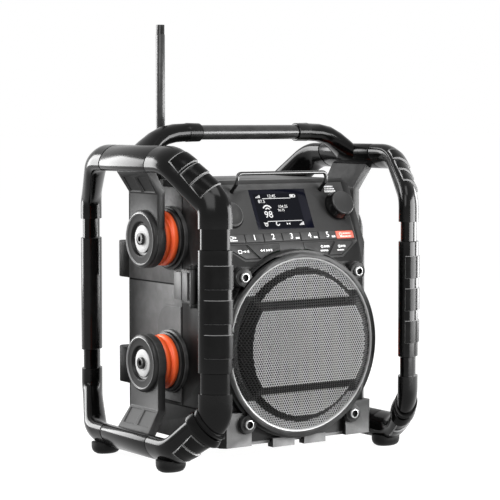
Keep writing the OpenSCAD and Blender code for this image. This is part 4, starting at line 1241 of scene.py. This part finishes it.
def add_display():
    """The glass with its dark screen, and the marks it shows."""
    dressed("display_lens", GLASS, bevel=0.2)
    dressed("display_module", BEZEL, bevel=0.3)
    screen = [bar(SCREEN_LEFT, SCREEN_LOW, SCREEN_RIGHT, SCREEN_HIGH)]
    add_marks("display_screen", screen, panel_place(0, 0, LENS_TOP), "radio",
              SCREEN, lift=0.02)
    shine = panel_place(0, 0, LENS_TOP + 0.02)
    status = [bar(-28.4 + 1.5 * i, 34.4, -27.4 + 1.5 * i, 35.4 + 0.7 * i) for i in range(4)]
    status += [bar(-20.6, 33.2, 14.6, 33.8)]
    status += frame_mark(14.8, 34.4, 20.6, 37.2, 0.7) + [bar(15.4, 35, 18.8, 36.6)]
    status += [bar(20.8, 35.1, 21.6, 36.5)]
    wave = stroke(arc(-17.4, 20.4, 5.4, 28, 152, 12), 1.5)
    wave += stroke(arc(-17.2, 20.2, 2.7, 30, 150, 8), 1.2)
    foot = [bar(-21.2, 8.0, 21.8, 8.6)]
    foot += ring_mark(-23.6, 4.9, 1.7, 0.8) + [bar(-23.9, 4.9, -23.3, 6.2)]
    foot += [bar(-26.2, 6.3, -24.9, 7.3), bar(-22.3, 6.3, -21, 7.3)]
    foot += stroke(arc(-9.2, 5.6, 2, 110, 350, 10), 1.1)
    foot += [arrow_head(1.7, 5.1, 1.3), arrow_head(6.1, 5.1, 1.3, -1)]
    foot += [bar(17.6 + 1.5 * i, 3.2, 18.7 + 1.5 * i, 4.3 + 0.9 * i) for i in range(4)]
    for name, parts in (("status_marks", status), ("wave_mark", wave), ("foot_marks", foot)):
        add_marks(name, parts, shine, "radio", LIT)
    numbers = {
        "98": (-17.6, 15.6, 10.4), "87.5": (-22.2, 30.4, 5.0), "12:45": (-8.6, 36, 4.8),
        "104.25": (2.4, 24.2, 4.4), "96.75": (-0.6, 20.2, 3.8),
    }
    for i, (text, (x, v, size)) in enumerate(numbers.items()):
        add_numeral(f"screen_number_{i + 1}", text, size, panel_place(x, v, LENS_TOP + 0.04),
                    "radio", LIT)


KNOB_X, KNOB_V = 70.5, 22.0
GRIPS = 28


def add_knob():
    """A glossy skirt with grips and a matt, slightly dished top, on its shaft."""
    knob = panel_place(KNOB_X, KNOB_V)
    top, skirt = 12.6, 15.6
    profile = [(3.2, 1.4), (skirt - 0.8, 1.4), (skirt, 2), (skirt, 4.2), (skirt - 0.5, 5.4),
               (skirt - 1.4, 8), (skirt - 2.2, 11.6), (top + 0.4, 12.8), (top, 13.1),
               (top - 1, 13.1), (top - 1.6, 12.9), (0, 12.6)]
    shape = bmesh.new()
    lathe(shape, [(3.2, 6)] + profile, knob, 96)
    normal = knob.to_3x3() @ Vector((0, 0, 1))
    for face in shape.faces:
        off = face.calc_center_median() - knob.translation
        out = off.dot(normal)
        face.material_index = 1 if out > 12.2 and (off - out * normal).length < top else 0
    add_piece("tuning_knob_form", shape, [KNOB_SIDE, KNOB], node="tuning_knob", crease=40)
    grips = bmesh.new()
    lean = Matrix.Translation((skirt - 0.45, 0, 0)) @ Matrix.Rotation(radians(-9), 4, "Y")
    for i in range(GRIPS):
        rib = box(grips, (-0.35, -0.35, 4.6), (0.35, 0.35, 11.4))
        place = knob @ Matrix.Rotation(2 * pi * i / GRIPS, 4, "Z")
        bmesh.ops.transform(grips, matrix=place @ lean, verts=rib)
    add_piece("knob_grips", grips, [KNOB_SIDE], body="tuning_knob")
    dressed("knob_shaft", STEEL, bevel=0.2)
    dressed("tuning_encoder", STEEL, bevel=0.2)


DOME_X, DOME_V = -64.0, 17.0


def add_panel_trim():
    """Print above the knob, and the low dome left of the display in its trench, which is a flat
    ring of painted shadow.
    """
    print_rows = (dashes(61.6, 72.6, 45.2, 1.7) + dashes(61.4, 74.6, 42.6, 1.2)
                  + dashes(60.6, 74.6, 39.8, 2.2, (1.6, 1.2, 2.1)))
    add_marks("knob_print", print_rows, panel_place(0, 0, 0), "radio", LEGEND)
    dome = bmesh.new()
    profile = [(13.4, 0), (13.4, 2.6), (12.8, 3.2), (11.8, 3.3), (11.2, 2.9), (6, 3.5), (0, 3.8)]
    lathe(dome, profile, panel_place(DOME_X, DOME_V), 64)
    add_piece("panel_dome", dome, [PANEL_PLASTIC], body="radio", crease=50)
    # A flat dark ring round the dome, painted shadow of its trench
    trench = bmesh.new()
    lathe(trench, [(13, 0), (13, 0.08), (15, 0.08), (15, 0)], panel_place(DOME_X, DOME_V), 64)
    add_piece("dome_trench", trench, [SEAM], body="radio", crease=50)


dressed("control_panel", PANEL_PLASTIC, bevel=0.4)
add_drum_collar()
add_panel_trim()
add_keys()
add_display()
add_knob()
dressed("main_board", BOARD, bevel=0.1)
dressed("guard_bar", GUARD, bevel=0.0)
dressed("antenna_base", ANTENNA, bevel=0.3)
dressed("antenna_whip", ANTENNA, bevel=0.3)

# --- Floor, light and background ------------------------------------------------------


# Strength of the floor as the camera sees it; 1 is white
FLOOR_WHITE = 0.965
# Strength of the light that comes from all round
AMBIENT = 0.2


def seen_by_eye(nodes, links, level, otherwise=0.0):
    """One strength for the camera, reflections and glass, and another for light that spreads."""
    path = nodes.new("ShaderNodeLightPath")
    seen = math_node(nodes, "MAXIMUM")
    links.new(path.outputs["Is Camera Ray"], seen.inputs[0])
    links.new(path.outputs["Is Glossy Ray"], seen.inputs[1])
    through = math_node(nodes, "MAXIMUM")
    links.new(seen.outputs[0], through.inputs[0])
    links.new(path.outputs["Is Transmission Ray"], through.inputs[1])
    strength = nodes.new("ShaderNodeMapRange")
    strength.inputs["To Min"].default_value = otherwise
    strength.inputs["To Max"].default_value = level
    links.new(through.outputs[0], strength.inputs["Value"])
    return strength.outputs[0]


def seen_white(name):
    """A floor that the camera and reflections see white, with the object's shadow on it."""
    material = bpy.data.materials.new(name)
    material.use_nodes = True
    nodes, links = material.node_tree.nodes, material.node_tree.links
    nodes.remove(nodes["Principled BSDF"])
    matt = nodes.new("ShaderNodeBsdfDiffuse")
    matt.inputs["Color"].default_value = (*grey(120), 1)
    shine = nodes.new("ShaderNodeEmission")
    links.new(seen_by_eye(nodes, links, FLOOR_WHITE), shine.inputs["Strength"])
    both = nodes.new("ShaderNodeAddShader")
    links.new(matt.outputs[0], both.inputs[0])
    links.new(shine.outputs[0], both.inputs[1])
    links.new(both.outputs[0], nodes["Material Output"].inputs["Surface"])
    return material


def add_floor():
    """A wide flat floor under the feet."""
    shape = bmesh.new()
    bmesh.ops.create_grid(shape, x_segments=1, y_segments=1, size=30)
    mesh = bpy.data.meshes.new("floor")
    shape.to_mesh(mesh)
    shape.free()
    mesh.materials.append(seen_white("floor white"))
    floor = bpy.data.objects.new("floor", mesh)
    bpy.context.collection.objects.link(floor)


def add_world():
    """Dim light from all round, which the camera and reflections see as white."""
    world = bpy.data.worlds.new("studio")
    bpy.context.scene.world = world
    world.use_nodes = True
    nodes, links = world.node_tree.nodes, world.node_tree.links
    back = nodes["Background"]
    back.inputs["Color"].default_value = (1, 1, 1, 1)
    links.new(seen_by_eye(nodes, links, 1.0, AMBIENT), back.inputs["Strength"])


def add_softbox(name, place, aim, width, height, power):
    """A rectangular lamp in metres and watts, turned from its place towards its aim."""
    light = bpy.data.lights.new(name, "AREA")
    light.shape = "RECTANGLE"
    light.size = width
    light.size_y = height
    light.energy = power
    lamp = bpy.data.objects.new(name, light)
    bpy.context.collection.objects.link(lamp)
    lamp.location = place
    lamp.visible_camera = False
    lamp.rotation_euler = (Vector(aim) - Vector(place)).to_track_quat("-Z", "Y").to_euler()


add_floor()
add_world()
add_softbox("rear_left_softbox", (-0.75, 1.06, 0.5), (-0.1, 0, 0.22), 0.8, 0.9, 35)
add_softbox("fill_softbox", (-1.0, -0.62, 0.8), (-0.1, 0, 0.2), 0.7, 0.7, 9)
add_softbox("key_softbox", (0.78, -0.71, 0.28), (0, 0, 0.18), 0.92, 0.56, 32)
add_softbox("right_softbox", (1.2, 0.15, 0.27), (0.1, 0, 0.18), 0.4, 0.5, 6)
add_softbox("high_softbox", (-0.35, -0.7, 1.5), (-0.05, 0, 0.2), 0.8, 0.8, 12)

bpy.context.scene.view_settings.view_transform = "Standard"
